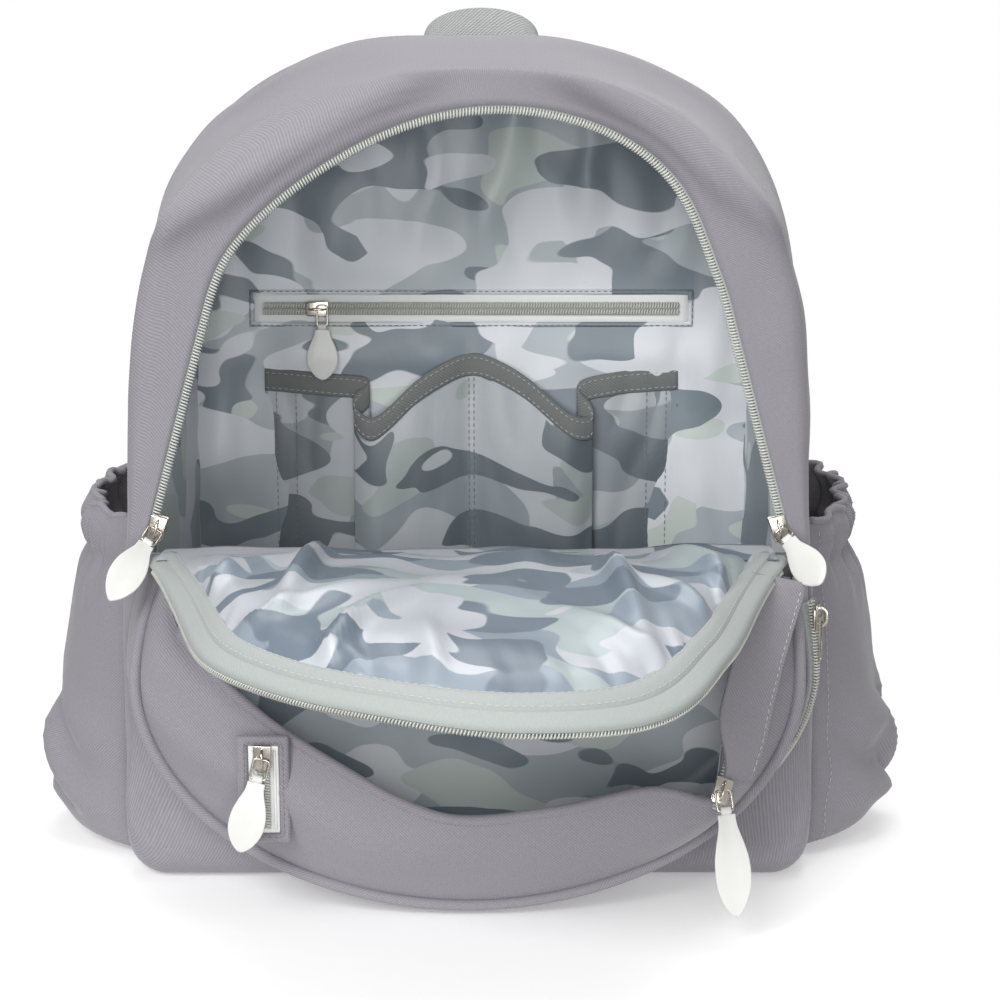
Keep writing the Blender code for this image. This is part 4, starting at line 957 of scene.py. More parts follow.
flapFolds = (  # foot of each fold, turn, width, height
    (-0.066, 0.062, 0.10, 0.0045, 0.0105),
    (-0.048, 0.140, 0.55, 0.0045, 0.0085),
    (-0.078, 0.120, 0.95, 0.0050, 0.0050),
    (-0.100, 0.070, 0.65, 0.0050, 0.0085),
    (-0.020, 0.165, 0.15, 0.0045, 0.0040),
    (0.062, 0.080, -0.12, 0.0050, 0.0085),
    (0.095, 0.100, -0.80, 0.0050, 0.0055),
    (0.104, 0.060, -0.45, 0.0050, 0.0085),
    (0.025, 0.050, 0.2, 0.010, 0.0030),
    (0.072, 0.150, -0.75, 0.0050, 0.0048),
)
upperRows = flapField(flapSize["inset"] + 0.0052, 0.0015, 150, 90, 0.0012, liningPuff)
flapTop = finish("flap_lining_cloth", clothGrid("flap_lining_cloth", upperRows,
    flatUv=lambda p: (p.x, -p.y)), camoFlap, "flap", ("flap_lining",))
addThickness(flapTop, 0.0006, -1.0)
lowerRows = flapField(flapSize["inset"] + 0.0005, 0.0015, 90, 50, -0.0012)
flapUnder = finish("flap_outer_cloth", clothGrid("flap_outer_cloth", lowerRows,
    flatUv=lambda p: (p.x, -p.y)), greyCanvas, "flap", ("flap_panel",))
addThickness(flapUnder, 0.0012, 0.0)

bindingRows = []
for inset, up in ((0.0180, 0.0004), (0.0182, 0.0016), (0.0172, 0.0025), (0.0150, 0.0028), (0.0128, 0.0025),
    (0.0118, 0.0016), (0.0116, 0.0002), (0.0125, -0.0020), (0.0150, -0.0024)):
    bindingRows.append(flapArch(inset, 0.004, up))
binding = finish("flap_edge_binding", clothGrid("flap_edge_binding", bindingRows), zipTape, "flap",
    ("flap_binding",))
addThickness(binding, 0.0005, 0.0)
tapeRows = []
for inset, up in ((0.0150, 0.0006), (0.0110, 0.0015), (0.0072, 0.0010), (0.0046, -0.0006)):
    tapeRows.append(flapArch(inset, 0.004, up))
flapTape = finish("flap_zip_band", clothGrid("flap_zip_band", tapeRows), zipTape, "flap",
    ("flap_tape",))
addThickness(flapTape, 0.0007, 0.0)
coil("flap_teeth", flapArch(0.0061, 0.020, -0.0024), coilNylon, "flap", ("flap_coil",), facing=flapUp,
    halfWidth=0.0017, halfHeight=0.0011)
stitches("flap_stitches", [flapArch(0.0171, 0.006, 0.0028), flapArch(0.0126, 0.006, 0.0028)], threadPale,
    "flap",
         spacing=0.0032, length=0.0022, width=0.00045, facing=flapUp)
print("flap made")

# cloth that turns over the flap's fold

foldRows = []
width = legX(bagSize["hingeZ"] + 0.002, 0.010)
for t in range(13):
    share = t / 12
    row = []
    for i in range(61):
        x = lerp(-width, width, i / 60)
        wall = Vector((x, -0.0745 + 0.0006 * ripple(x, 0, 1, 0.02), 0.128 + 0.012 * share * 2))
        top = flapPoint(x * 0.995, bagSize["hingeZ"] + 0.004 + 0.012 * max(0.0, share - 0.5) * 2, 0.0022)
        ridge = Vector((x, -0.0755, 0.1482 + 0.0022 * ripple(x, 4, 0, 0.03)
            + 0.0028 * hump(x, 0.105, 0.03)))
        if share < 0.5:
            p = wall.lerp(ridge, ease(share * 2, 0.0, 1.0))
        else:
            p = ridge.lerp(top, (share - 0.5) * 2)
        row.append(p)
    foldRows.append(row)
fold = finish("flap_fold_lining", clothGrid("flap_fold_lining", foldRows,
    flatUv=lambda p: (p.x, p.z - p.y)), camoFlap, None,
              blend=("bag", "flap", (0, -0.0745, 0.146), (0, -0.088, 0.146)))
print("flap fold made")

# front pocket

pocket = dict(
    half=0.141, midZ=0.100, bottomZ=0.004, topZ=0.132, roundness=1.95, cord=0.002,
    yBottom=-0.127, ySide=-0.108, bulge=0.009, flare=0.0125, hem=0.0024, columns=112,
    lip=((-0.1315, -0.0885, 0.1395), (-0.121, -0.109, 0.117), (-0.096, -0.131, 0.096),
         (-0.062, -0.148, 0.076), (-0.012, -0.160, 0.053), (0.034, -0.160, 0.055),
         (0.076, -0.154, 0.062), (0.103, -0.146, 0.056), (0.109, -0.137, 0.080),
         (0.119, -0.121, 0.107), (0.129, -0.106, 0.1385)),
)
shares = [k / pocket["columns"] for k in range(pocket["columns"] + 1)]


def pocketOutline(places, grow=0.0):
    straight = 0.1
    found = []
    for s in places:
        half, drop = pocket["half"] + grow, pocket["midZ"] - pocket["bottomZ"] + grow
        if s < straight or s > 1 - straight:
            side = -1 if s < 0.5 else 1
            up = (straight - min(s, 1 - s)) / straight
            found.append((side * (half - (0.008 if side < 0 else 0.002) * up * up),
                lerp(pocket["midZ"], pocket["topZ"] + 0.008, up)))
            continue
        a = math.pi * (s - straight) / (1 - 2 * straight)
        c, power = math.cos(a), 2 / pocket["roundness"]
        found.append((-half * math.copysign(abs(c) ** power, c),
            pocket["midZ"] - drop * math.sin(a) ** power))
    return found


def cordY(z, x=0.0):
    share = (z - pocket["bottomZ"]) / (pocket["topZ"] - pocket["bottomZ"])
    back = (0.021 if x < 0 else 0.004) * ease(z, 0.096, 0.140)
    return lerp(pocket["yBottom"], pocket["ySide"], clamp(share) ** 1.3) + back


def cordLine(places=shares, grow=0.0, dy=0.0):
    return [Vector((x, cordY(z, x) + dy, z)) for x, z in pocketOutline(places, grow)]


lipLine = smoothPath(pocket["lip"], pocket["columns"])


def panelPoint(p, q, t):
    way = (q - p).length
    place = p.lerp(q, t)
    bulge = pocket["bulge"] * math.sin(math.pi * t) * min(1.0, way / 0.05)
    place += Vector((0, -bulge, 0))
    free = ease(t, 0.0, 0.25) * (1 - ease(t, 0.8, 1.0)) * min(1.0, way / 0.03)
    x, z = place.x, place.z
    swell = 0.0022 * ripple(x, 0, z, 0.05)
    fan = 0.0012 * math.sin((x * 0.6 + z) * 2 * math.pi / 0.030 + 2.5 * ripple(x, 3, z, 0.05)) * ease(-x,
        0.02, 0.10)
    place.y -= free * (swell + fan)
    return place


panelRows = []
foot = cordLine(grow=-0.0012, dy=0.0014)
for j in range(37):
    t = j / 36
    panelRows.append([panelPoint(p, q, t) for p, q in zip(foot, lipLine)])
pocketFront = finish("pocket_front_cloth", clothGrid("pocket_front_cloth", panelRows,
    flatUv=lambda p: (p.x, p.z)), greyCanvas, "bag", ("pocket_front",))
addThickness(pocketFront, 0.0013, 0.0)
cord = cordLine(dy=-0.0006)
finish("pocket_cord", tube("pocket_cord", cord, 0.0025, (0, -1, 0), 12), greyCanvas, "bag",
    ("pocket_piping",))
welt = cordLine(grow=0.0012, dy=0.0062)
finish("pocket_seam_welt", tube("pocket_seam_welt", welt, 0.0015, (0, -1, 0), 10), greyCanvas, "bag")
hemPart = evenPath(lipLine[10:97], 0.004)
hemScale = [0.9 + 0.25 * abs(ripple(k * 0.004, 0, 0, 0.03)) for k in range(len(hemPart))]
finish("pocket_lip_hem", tube("pocket_lip_hem", hemPart, pocket["hem"], (0, -1, 0), 12, scales=hemScale),
    greyCanvas, "bag", ("pocket_hem",))
print("pocket front made")

gussetRows = []
for j in range(29):
    t = j / 28
    row = []
    for x, z in pocketOutline(shares):
        front = cordY(z, x) + 0.0006
        wide = 1 + (pocket["flare"] * (1 - t) - 0.005 * (1 - t) ** 3) / pocket["half"]
        y = lerp(-0.0786, front, t)
        free = math.sin(math.pi * t) * ease(z, 0.003, 0.02)
        corner = ease(0.08 - z, 0.0, 0.05)
        push = free * (0.0040 * abs(ripple(x, y, z, 0.025))
            + 0.0035 * corner * math.sin((y + x * 0.3) * 2 * math.pi / 0.022 + z * 60))
        out = Vector((x, 0, z - pocket["midZ"])).normalized()
        row.append(Vector((x * wide, y, z)) - out * push)
    gussetRows.append(row)
gusset = finish("pocket_side_cloth", clothGrid("pocket_side_cloth", gussetRows), greyCanvas, "bag",
    ("pocket_gusset",))
addThickness(gusset, 0.0013, 0.0)


def insidePanel(p, q, t):  # the lining runs a little behind the front cloth
    if t <= 0.08:
        return p.lerp(q, t) + Vector((0, 0.0045, 0))
    inward = -0.0026 * math.copysign(ease(abs(p.x), 0.03, 0.11), p.x)
    return panelPoint(p, q, t) + Vector((inward, 0.0030, 0.0012))


inner = pocketOutline(shares, -0.0035)
insideRows = []
topLine = [Vector((lerp(-0.118, 0.118, s), -0.0846, pocket["topZ"] + 0.008)) for s in shares]
wallLine = [Vector((x * 0.97, -0.0848, lerp(z, pocket["topZ"], 0.03))) for x, z in inner]
turnLine = [Vector((x, lerp(-0.0920, -0.0858, ease(z, 0.1, 0.14)), z)) for x, z in inner]
frontLine = [Vector((x, cordY(z, x) + 0.0048, z)) for x, z in inner]
for a, b, count in ((topLine, wallLine, 14), (wallLine, turnLine, 4), (turnLine, frontLine, 6)):
    for j in range(count):
        insideRows.append([p.lerp(q, j / count) for p, q in zip(a, b)])
for j in range(21):
    t = j / 20 * 0.97
    insideRows.append([insidePanel(p, q, t) for p, q in zip(foot, lipLine)])
for j, row in enumerate(insideRows[:24]):
    for i, p in enumerate(row):
        free = math.sin(math.pi * clamp(j / 24)) * ease(i, 2, 12) * (1 - ease(i, 100, 110))
        if p.z > 0.012:
            row[i] = p + Vector((0, -1, 0)) * free * (0.0035 * abs(ripple(p.x, p.y, p.z, 0.03)))
pocketInside = finish("pocket_lining_cloth", clothGrid("pocket_lining_cloth", insideRows,
    flatUv=lambda p: (p.x, p.z + p.y)), camoInside, "bag", ("pocket_lining",))
addThickness(pocketInside, 0.0005, 0.0)
print("pocket lining made")

# zip window on the left of the front pocket

# origin, then the local x, y and z directions: the chain runs along z and the front is -y
sliderFrames = dict(
    main_slider_l=((-0.13496, -0.0772, 0.157591), (0.965926, 0.0, -0.258819), (0.0, 1.0, 0.0),
        (0.258819, 0.0, 0.965926)),
    main_slider_r=((0.13496, -0.0772, 0.157591), (0.965926, 0.0, 0.258819), (0.0, 1.0, 0.0),
        (-0.258819, 0.0, 0.965926)),
    inner_slider=((-0.074, 0.0554, 0.24), (0.0, 0.0, -1.0), (0.0, 1.0, 0.0), (1.0, 0.0, 0.0)),
    pocket_slider_l=((-0.0835, -0.150879, 0.075801), (1.0, 0.0, 0.0), (0.0, 0.997021, 0.077135),
        (0.0, -0.077135, 0.997021)),
    pocket_slider_r=((0.104649, -0.152874, 0.061469), (0.949275, 0.0, -0.314447),
        (-0.127836, 0.913632, -0.385919), (0.287289, 0.406541, 0.867288)),
    side_slider=((0.1484, -0.094, 0.122), (0.287348, 0.957826, 0.0), (-0.957826, 0.287348, 0.0),
        (0.0, 0.0, 1.0)),
)
pullFrames = dict(  # ring pivot, leaf hang, then the local directions of both; leaf length
    main_pull_l=((-0.13496, -0.08086, 0.157591), (-0.138021, -0.087102, 0.152877),
                 ((0.838671, 0.0, -0.544639), (-0.404746, 0.669131, -0.623254),
                     (0.364435, 0.743145, 0.56118)), 0.034),
    main_pull_r=((0.13496, -0.08086, 0.157591), (0.137495, -0.088277, 0.15457),
                 ((0.766044, 0.0, 0.642788), (0.567548, 0.469472, -0.676377),
                     (-0.301771, 0.882948, 0.359636)), 0.034),
    inner_pull=((-0.074, 0.05174, 0.2419), (-0.07155, 0.05174, 0.2316), ((1, 0, 0), (0, 1, 0), (0, 0, 1)),
        0.0245),
    pocket_pull_l=((-0.0835, -0.154528, 0.075519), (-0.085512, -0.155071, 0.067381),
                   ((0.970296, 0.018661, -0.241201), (-0.033669, 0.997734, -0.058253),
                       (0.239568, 0.064643, 0.968725)), 0.030),
    pocket_pull_r=((0.105117, -0.156218, 0.062882), (0.106156, -0.159337, 0.055152),
                   ((0.984057, 0.165355, 0.065496), (-0.14906, 0.967671, -0.203455),
                       (-0.097021, 0.190448, 0.976891)), 0.042),
)


def placed(origin, x, y, z):
    turn = Matrix((x, y, z)).transposed().to_4x4()
    return Matrix.Translation(origin) @ turn


tilt = placed((-0.0835, -0.147728, 0.061), (1, 0, 0), (0, 0.997021, 0.077135), (0, -0.077135, 0.997021))
corners = [tilt @ Vector(p) for p in ((-0.0062, 0, -0.019), (0.0062, 0, -0.019), (0.0062, 0, 0.019),
    (-0.0062, 0, 0.019))]
data = plateGrid("window_tape", corners, 12, 30, 0.0002)
windowTape = finish("window_tape", data, whiteTape, "bag", ("pocket_zip_tape_l",))
addThickness(windowTape, 0.0009, 0.0)
for k, dx in enumerate((-0.0013, 0.0013)):
    path = [tilt @ Vector((dx, -0.0016, -0.0165)), tilt @ Vector((dx, -0.0016, 0.0172))]
    coil(f"window_coil_{k}", path, coilNylon, "bag", ("pocket_zip_coil_l",) if k == 0 else (),
        halfWidth=0.0011, halfHeight=0.0008, pitch=0.0012, wire=0.0005)
for k, dx in enumerate((-0.0046, 0.0046)):
    path = [tilt @ Vector((dx, -0.0009, -0.0175)), tilt @ Vector((dx, -0.0009, 0.0172))]
    finish(f"window_rib_{k}", tube(f"window_rib_{k}", evenPath(path, 0.004), 0.0006, (0, -1, 0), 8),
        whiteTape, "bag")
frameRows = []
for out, lift in ((0.0006, -0.0002), (0.0012, -0.0009), (0.0036, -0.0008), (0.0046, 0.0004)):
    row = []
    for k in range(97):
        a = 2 * math.pi * k / 96
        px, pz = math.cos(a), math.sin(a)
        big = max(abs(px), abs(pz))
        row.append(tilt @ Vector((px / big * (0.0060 + out), lift, pz / big * (0.0188 + out))))
    frameRows.append(row)
windowLip = finish("window_lip", clothGrid("window_lip", frameRows, closed=True,
    flatUv=lambda p: (p.x, p.z)), greyCanvas, "bag")
addThickness(windowLip, 0.0006, 0.0)
loop = [tilt @ Vector(p) for p in ((-0.0080, -0.0016, -0.0208), (0.0080, -0.0016, -0.0208),
    (0.0080, -0.0016, 0.0208), (-0.0080, -0.0016, 0.0208), (-0.0080, -0.0016, -0.0208))]
stitches("window_stitches", [loop], threadGrey, "bag", spacing=0.0028, length=0.0020,
    width=0.0005)

# strip and right leg of the pocket zip

strip = dict(foot=Vector((0.1085, -0.1535, 0.058)), head=Vector((0.1352, -0.1090, 0.143)), half=0.0125,
    thick=0.0012)
stripWay = strip["head"] - strip["foot"]
stripPath = [strip["foot"] + stripWay * lerp(0.09, 1.0, k / 24)
    + Vector((lerp(0.0010, -0.0042, ease(k, 0, 9)),
    -0.0050 * ease(k, 0, 6) - 0.0026 * math.sin(math.pi * k / 24), 0)) for k in range(25)]
stripAcross = Vector((1, 0.35, -0.28)).normalized()
stripFace = stripAcross.cross(stripWay).normalized()
if stripFace.y > 0:
    stripFace = -stripFace
stripScale = [0.52 + 0.42 * ease(k, 0, 8) + 0.14 * ease(k, 14, 24) for k in range(25)]
rows = []
for k, p in enumerate(stripPath):
    row = []
    for a, b in strapSection(strip["half"], strip["thick"], 0.0009):
        wave = 0.0005 * ripple(a * 3, k * 0.004, 0, 0.012)
        row.append(p + stripAcross * a * stripScale[k] + stripFace * (b + wave))
    rows.append(row)
finish("pocket_strip_cloth", clothGrid("pocket_strip_cloth", rows, closed=True, caps=True), greyCanvas,
    "bag", ("pocket_strip_r",))
stripStitch = [p + stripAcross * (strip["half"] - 0.0022) * s + stripFace * 0.0014 for p,
    s in zip(stripPath[1:-1], stripScale[1:-1])]
stitches("strip_stitches", [stripStitch], threadPale, "bag", spacing=0.0031, length=0.0021,
    width=0.00045)
chainFoot = strip["foot"] + Vector((-0.0050, -0.0010, 0)) - stripWay.normalized() * 0.004
chainHead = strip["head"] + Vector((-0.0050, 0.0020, 0)) - stripWay.normalized() * 0.012
coil("pocket_teeth_r", [chainFoot, chainHead], coilNylon, "bag", ("pocket_zip_coil_r",), halfWidth=0.0015,
    halfHeight=0.0010)
print("pocket zip made")

# side zip on the gusset

sideShares = [lerp(0.64, 0.972, k / 60) for k in range(61)]


def sideZipLine(dy, out):
    places = []
    depth = -0.094 - (-0.0786)
    for x, z in pocketOutline(sideShares, out):
        t = (depth + dy) / (cordY(z) + pocket["cord"] + 0.078)
        places.append(Vector((x * (1 + pocket["flare"] * (1 - t) / pocket["half"]), -0.094 + dy, z)))
    return places


rows = [sideZipLine(lerp(-0.0074, 0.0074, k / 8), 0.0008 + 0.0006 * math.sin(math.pi * k / 8))
    for k in range(9)]
sideTape = finish("side_zip_band", clothGrid("side_zip_band", rows), zipTape, "bag",
    ("side_zip_tape",))
addThickness(sideTape, 0.0008, 0.0)
outward = (0.85, -0.3, -0.4)
for k, dy in enumerate((-0.0015, 0.0015)):
    coil(f"side_teeth_{k}", sideZipLine(dy, 0.0026), coilNylon, "bag", ("side_zip_coil",) if k == 0 else (),
        facing=outward, halfWidth=0.0013, halfHeight=0.0009)
for k, dy in enumerate((-0.0082, 0.0078)):
    finish(f"side_zip_welt_{k}", tube(f"side_zip_welt_{k}", sideZipLine(dy, 0.0010), 0.0009, outward, 8),
        greyCanvas, "bag")
stitches("side_zip_stitches", [sideZipLine(-0.0052, 0.0022), sideZipLine(0.0052, 0.0022)], threadGrey,
    "bag", spacing=0.003, length=0.002, width=0.0004, facing=outward)
print("side zip made")

# side pockets

sidePocket = dict(y=(-0.046, 0.056), z=(0.004, 0.166), bulge=0.0415, columns=72, rows=60)
levelCurve = smoothPath([(0.0, 0.0, 0), (0.004, 0.40, 0), (0.014, 0.70, 0), (0.05, 0.86, 0),
    (0.13, 0.96, 0), (0.24, 1.0, 0), (0.42, 0.89, 0), (0.62, 0.76, 0), (0.78, 0.63, 0), (0.86, 0.47, 0),
    (0.90, 0.54, 0), (0.95, 0.57, 0), (1.0, 0.46, 0)], sidePocket["rows"])


def sidePocketRows(mirror, inset=0.0):
    rows = []
    for level in levelCurve:
        t, share = clamp(level.x), max(0.0, level.y)
        row = []
        for k in range(sidePocket["columns"] + 1):
            s = k / sidePocket["columns"] * 2 - 1
            out = sidePocket["bulge"] * share * (1 - abs(s) ** 2.4) ** 0.7
            z = lerp(sidePocket["z"][0], sidePocket["z"][1] - 0.011 * (1 - s) / 2, t)
            y = lerp(sidePocket["y"][0], sidePocket["y"][1], (s + 1) / 2)
            free = (1 - abs(s) ** 4) * ease(t, 0.02, 0.12)
            gather = 0.0021 * math.sin(s * 27 + 1.8 * ripple(s, t, mirror, 0.4)) * ease(t, 0.66, 0.90)
            fold = math.sin((z * 0.8 + s * 0.030 * mirror) * 2 * math.pi / 0.030 + mirror
                + 2 * ripple(s, 0, z, 0.5))
            low = 0.0030 * ripple(s * 0.05 + mirror, 0, z,
                0.034) + 0.0050 * fold * (1 - ease(z, 0.045, 0.085)) * ease(z, 0.006, 0.02)
            ruffle = 0.0012 * math.sin(s * 43 + 1) * ease(t, 0.86, 0.95)
            out += free * (gather + low + ruffle) - inset
            z += 0.0014 * math.sin(s * 17 + mirror) * ease(t, 0.80, 1.0)
            beside = drawnIn(bagSize["halfWidth"], z, y)[0]
            row.append(Vector((mirror * (beside + 0.0004 + max(0.0, out)), y, z)))
        rows.append(row)
    return rows


for side, mirror in (("r", 1), ("l", -1)):
    rows = sidePocketRows(mirror)
    pouch = finish(f"side_pocket_cloth_{side}", clothGrid(f"side_pocket_cloth_{side}", rows), greyCanvas,
        "bag", (f"side_pocket_{side}",))
    addThickness(pouch, 0.0013)
    rim = rows[-1][1:-1]
    finish(f"side_elastic_cuff_{side}", tube(f"side_elastic_cuff_{side}", rim, 0.0017, (0, 0, 1), 8),
        greyCanvas, "bag", (f"side_elastic_{side}",))
    cuffLines = [[p + Vector((mirror * 0.0009, -0.0004, 0)) for p in rows[j][2:-2]]
        for j in (sidePocket["rows"] - 7, sidePocket["rows"] - 5)]
    stitches(f"side_cuff_stitches_{side}", cuffLines, threadGrey, "bag", spacing=0.0033,
        length=0.0022, width=0.0004, facing=(mirror, -0.3, 0))
    seams = [[Vector((p.x + mirror * 0.0012, p.y, p.z)) for p in [row[c] for row in rows[6:-3]]]
        for c in (2,)]
    stitches(f"side_seam_stitches_{side}", seams, threadPale, "bag", spacing=0.0033,
        length=0.0022, width=0.0004, facing=(mirror, -0.6, 0))
print("side pockets made")

# sliders, rings and leaf pulls

def rounded(mesh, size, place, bevel, taper=0.0):
    found = bmesh.ops.create_cube(mesh, size=1.0, matrix=Matrix.Diagonal((*size, 1)))["verts"]
    for v in found:
        v.co.x *= 1 + taper * v.co.z / size[2] * 2
    edges = {e for v in found for e in v.link_edges}
    made = bmesh.ops.bevel(mesh, geom=list(edges), offset=bevel, affect="EDGES", segments=3, profile=0.5,
        material=-1)
    touched = {v for f in made["faces"] for v in f.verts} | {v for v in found if v.is_valid}
    bmesh.ops.transform(mesh, matrix=place, verts=list(touched))


sliderShape = dict(half=0.0035, length=0.011, plate=0.0011, gap=0.0017, crownRise=0.0034, crownHalf=0.0035)


def makeSlider(name, frameOf, through):
    w, long = sliderShape["half"], sliderShape["length"]
    thick, gap = sliderShape["plate"], sliderShape["gap"]
    mesh = bmesh.new()
    rounded(mesh, (w * 2, thick, long), Matrix.Translation((0, -(gap + thick / 2), 0)), 0.00042, 0.10)
    if through:
        rounded(mesh, (w * 2, thick, long), Matrix.Translation((0, gap + thick / 2, 0)), 0.00042, 0.10)
        rounded(mesh, (0.0009, gap * 2, long * 0.45), Matrix.Translation((0, 0, long * 0.24)), 0.0002)
    for sx in (-1, 1):
        rounded(mesh, (0.0008, 0.0012, long * 0.72), Matrix.Translation((sx * (w - 0.0003), -(gap - 0.0005),
            -long * 0.05)), 0.00025)
    base, rise, half = gap + thick, sliderShape["crownRise"], sliderShape["crownHalf"]
    arch = [Vector((0, -(base - 0.0005), -half)), Vector((0, -(base + rise * 0.45), -half * 0.98)),
        Vector((0, -(base + rise * 0.86), -half * 0.62)), Vector((0, -(base + rise * 0.93), 0)),
            Vector((0, -(base + rise * 0.86), half * 0.62)),
                Vector((0, -(base + rise * 0.45), half * 0.98)), Vector((0, -(base - 0.0005), half))]
    rows = sweptRows(smoothPath(arch, 24), strapSection(0.0009, 0.0005, 0.0003, 2), (1, 0, 0))
    crown = clothGrid("crown", [[Vector((q.x, q.y, q.z)) for q in row] for row in rows], closed=True,
        caps=True)
    mesh.from_mesh(crown)
    bmesh.ops.recalc_face_normals(mesh, faces=mesh.faces)
    bmesh.ops.transform(mesh, matrix=placed(*frameOf), verts=mesh.verts)
    data = bpy.data.meshes.new(name)
    mesh.to_mesh(data)
    mesh.free()
    bpy.data.meshes.remove(crown)
    return data


for name, frameOf in sliderFrames.items():
    finish(name + "_body", makeSlider(name, frameOf, name.startswith("main")), nickel, name,
        (name,))

leafShape = ((0.0, 0.50), (0.06, 0.50), (0.14, 0.56), (0.28, 0.78), (0.42, 0.95), (0.56, 1.0), (0.70, 0.94),
    (0.83, 0.72), (0.92, 0.46), (0.98, 0.18), (1.0, 0.02))


def makeLeaf(name, origin, axes, length, curl):
    outline = smoothPath([(t, w, 0) for t, w in leafShape], 44)
    half, neck, thick = 0.0075, 0.0014, 0.0009
    rows = []
    for p in outline:
        t, wide = clamp(p.x), max(0.015, p.y) * half
        down = -(neck + length * t)
        bend = curl * math.sin(math.pi * t) * 0.0022
        row = []
        for k in range(33):
            a = 2 * math.pi * k / 32
            u = math.cos(a)
            body = math.copysign(abs(math.sin(a)) ** 0.55, math.sin(a))
            groove = 0.00022 * hump(abs(u), 0.80, 0.06) * ease(t, 0.06, 0.12)
            depth = (thick * min(1.0, wide / 0.0015) - groove) * body
            row.append(Vector((u * wide, -(depth + bend + 0.0006 * curl * u * u), down)))
        rows.append(row)
    data = clothGrid(name, rows, closed=True, caps=True)
    mesh = bmesh.new()
    mesh.from_mesh(data)
    sleeve = clothGrid("sleeve", sweptRows([Vector((lerp(-0.0021, 0.0021, k / 6), 0, 0)) for k in range(7)],
        roundSection(0.0017, 0.0017, 16), (0, 0, 1)), closed=True, caps=True)
    mesh.from_mesh(sleeve)
    bpy.data.meshes.remove(sleeve)
    bmesh.ops.recalc_face_normals(mesh, faces=mesh.faces)
    bmesh.ops.transform(mesh, matrix=placed(origin, *axes), verts=mesh.verts)
    mesh.to_mesh(data)
    mesh.free()
    return data


def makeRing(name, origin, axes, loop):
    path = []
    count = len(loop)
    for i, p in enumerate(loop):
        before, after = Vector(loop[i - 1]), Vector(loop[(i + 1) % count])
        p = Vector(p)
        r = 0.0016
        a, b = p + (before - p).normalized() * r, p + (after - p).normalized() * r
        for k in range(6):
            t = k / 5
            path.append(a * (1 - t) ** 2 + p * (2 * t * (1 - t)) + b * t * t)
    path.append(path[0].copy())
    at = placed(origin, *axes)
    path = [at @ p for p in path]
    facing = Vector(axes[1])
    rows = []
    sides = roundSection(0.00055, 0.00055, 8)
    for k, p in enumerate(path):
        ahead = path[1] - path[-2] if k in (0, len(path) - 1) else path[k + 1] - path[k - 1]
        way = ahead.normalized()
        across = way.cross(facing).normalized()
        rows.append([p + across * a + facing * b for a, b in sides])
    return clothGrid(name, rows, closed=True)


for name, (pivot, hang, axes, length) in pullFrames.items():
    loop = ((-0.0033, 0, 0), (0.0033, 0, 0), (0.0033, 0, -0.0084), (-0.0033, 0, -0.0084))
    ringAxes = axes
    if name == "inner_pull":
        loop = ((0, 0, 0), (0.0049, 0, 0), (0.0049, 0, -0.0103), (0, 0, -0.0103))
    if name == "pocket_pull_r":
        ringAxes = ((0.984057, 0.165355, 0.065496), (-0.127836, 0.913632, -0.385919),
            (-0.123653, 0.371394, 0.920205))
    finish(name + "_wire", makeRing(name + "_wire", pivot, ringAxes, loop), nickel, name,
        (name + "_ring",))
    curl = dict(main_pull_l=1.0, main_pull_r=-0.6, pocket_pull_l=0.8, pocket_pull_r=1.0,
        inner_pull=0.5)[name]
    finish(name + "_petal", makeLeaf(name + "_petal", hang, axes, length, curl), pullCoated, name,
        (name + "_leaf",))
print("sliders and pulls made")

# back panel, seam cord, straps and loop

backPanel = dict(front=0.0664, back=0.0690, quilt=0.0034)
panelRows = []
for k in range(91):
    z = lerp(0.0006, 0.3734, k / 90)
    rise = bagSize["height"] - bagSize["shoulder"]
    width = bagSize["halfWidth"] * (1 - clamp((z - bagSize["shoulder"]) / rise, 0,
        0.99999) ** 2.8) ** (1 / 2.8)
    if z < 0.018:
        width = min(width, 0.137 + math.sqrt(max(0.0, 0.018**2 - (0.018 - z) ** 2)))
    row = []
    for i in range(97):
        x = width * (i / 48 - 1)
        edge = min(width - abs(x), z, bagSize["height"] - z)
        inside = ease(edge, 0.008, 0.020)
        channel = 1 - max(hump(abs(x), 0.030, 0.0035) * (1 - ease(z, 0.31, 0.32)),
            hump(abs(z - 0.335), 0, 0.003) * 0.6)
        lift = backPanel["quilt"] * inside * channel + 0.0012 * ease(edge, 0.0, 0.004)
        row.append(Vector((x, backPanel["front"] + 0.0012 + lift, topSunk(z))))
    panelRows.append(row)
backPiece = finish("back_panel_padded", clothGrid("back_panel_padded", panelRows,
    flatUv=lambda p: (p.x, p.z)), backMesh, "bag", ("back_panel", "back_foam"))
addThickness(backPiece, 0.0022, 1.0)
seam = [Vector((x, 0.0664, topSunk(z))) for x, z in wholeLoop(bagHalf(0.0010, 0.0010))]
seamRows = sweptRows(seam, roundSection(0.0017, 0.0017, 10), (0, 1, 0))
seamRows[-1] = [p.copy() for p in seamRows[0]]
finish("back_seam_cord", clothGrid("back_seam_cord", seamRows, closed=True), greyCanvas, "bag")

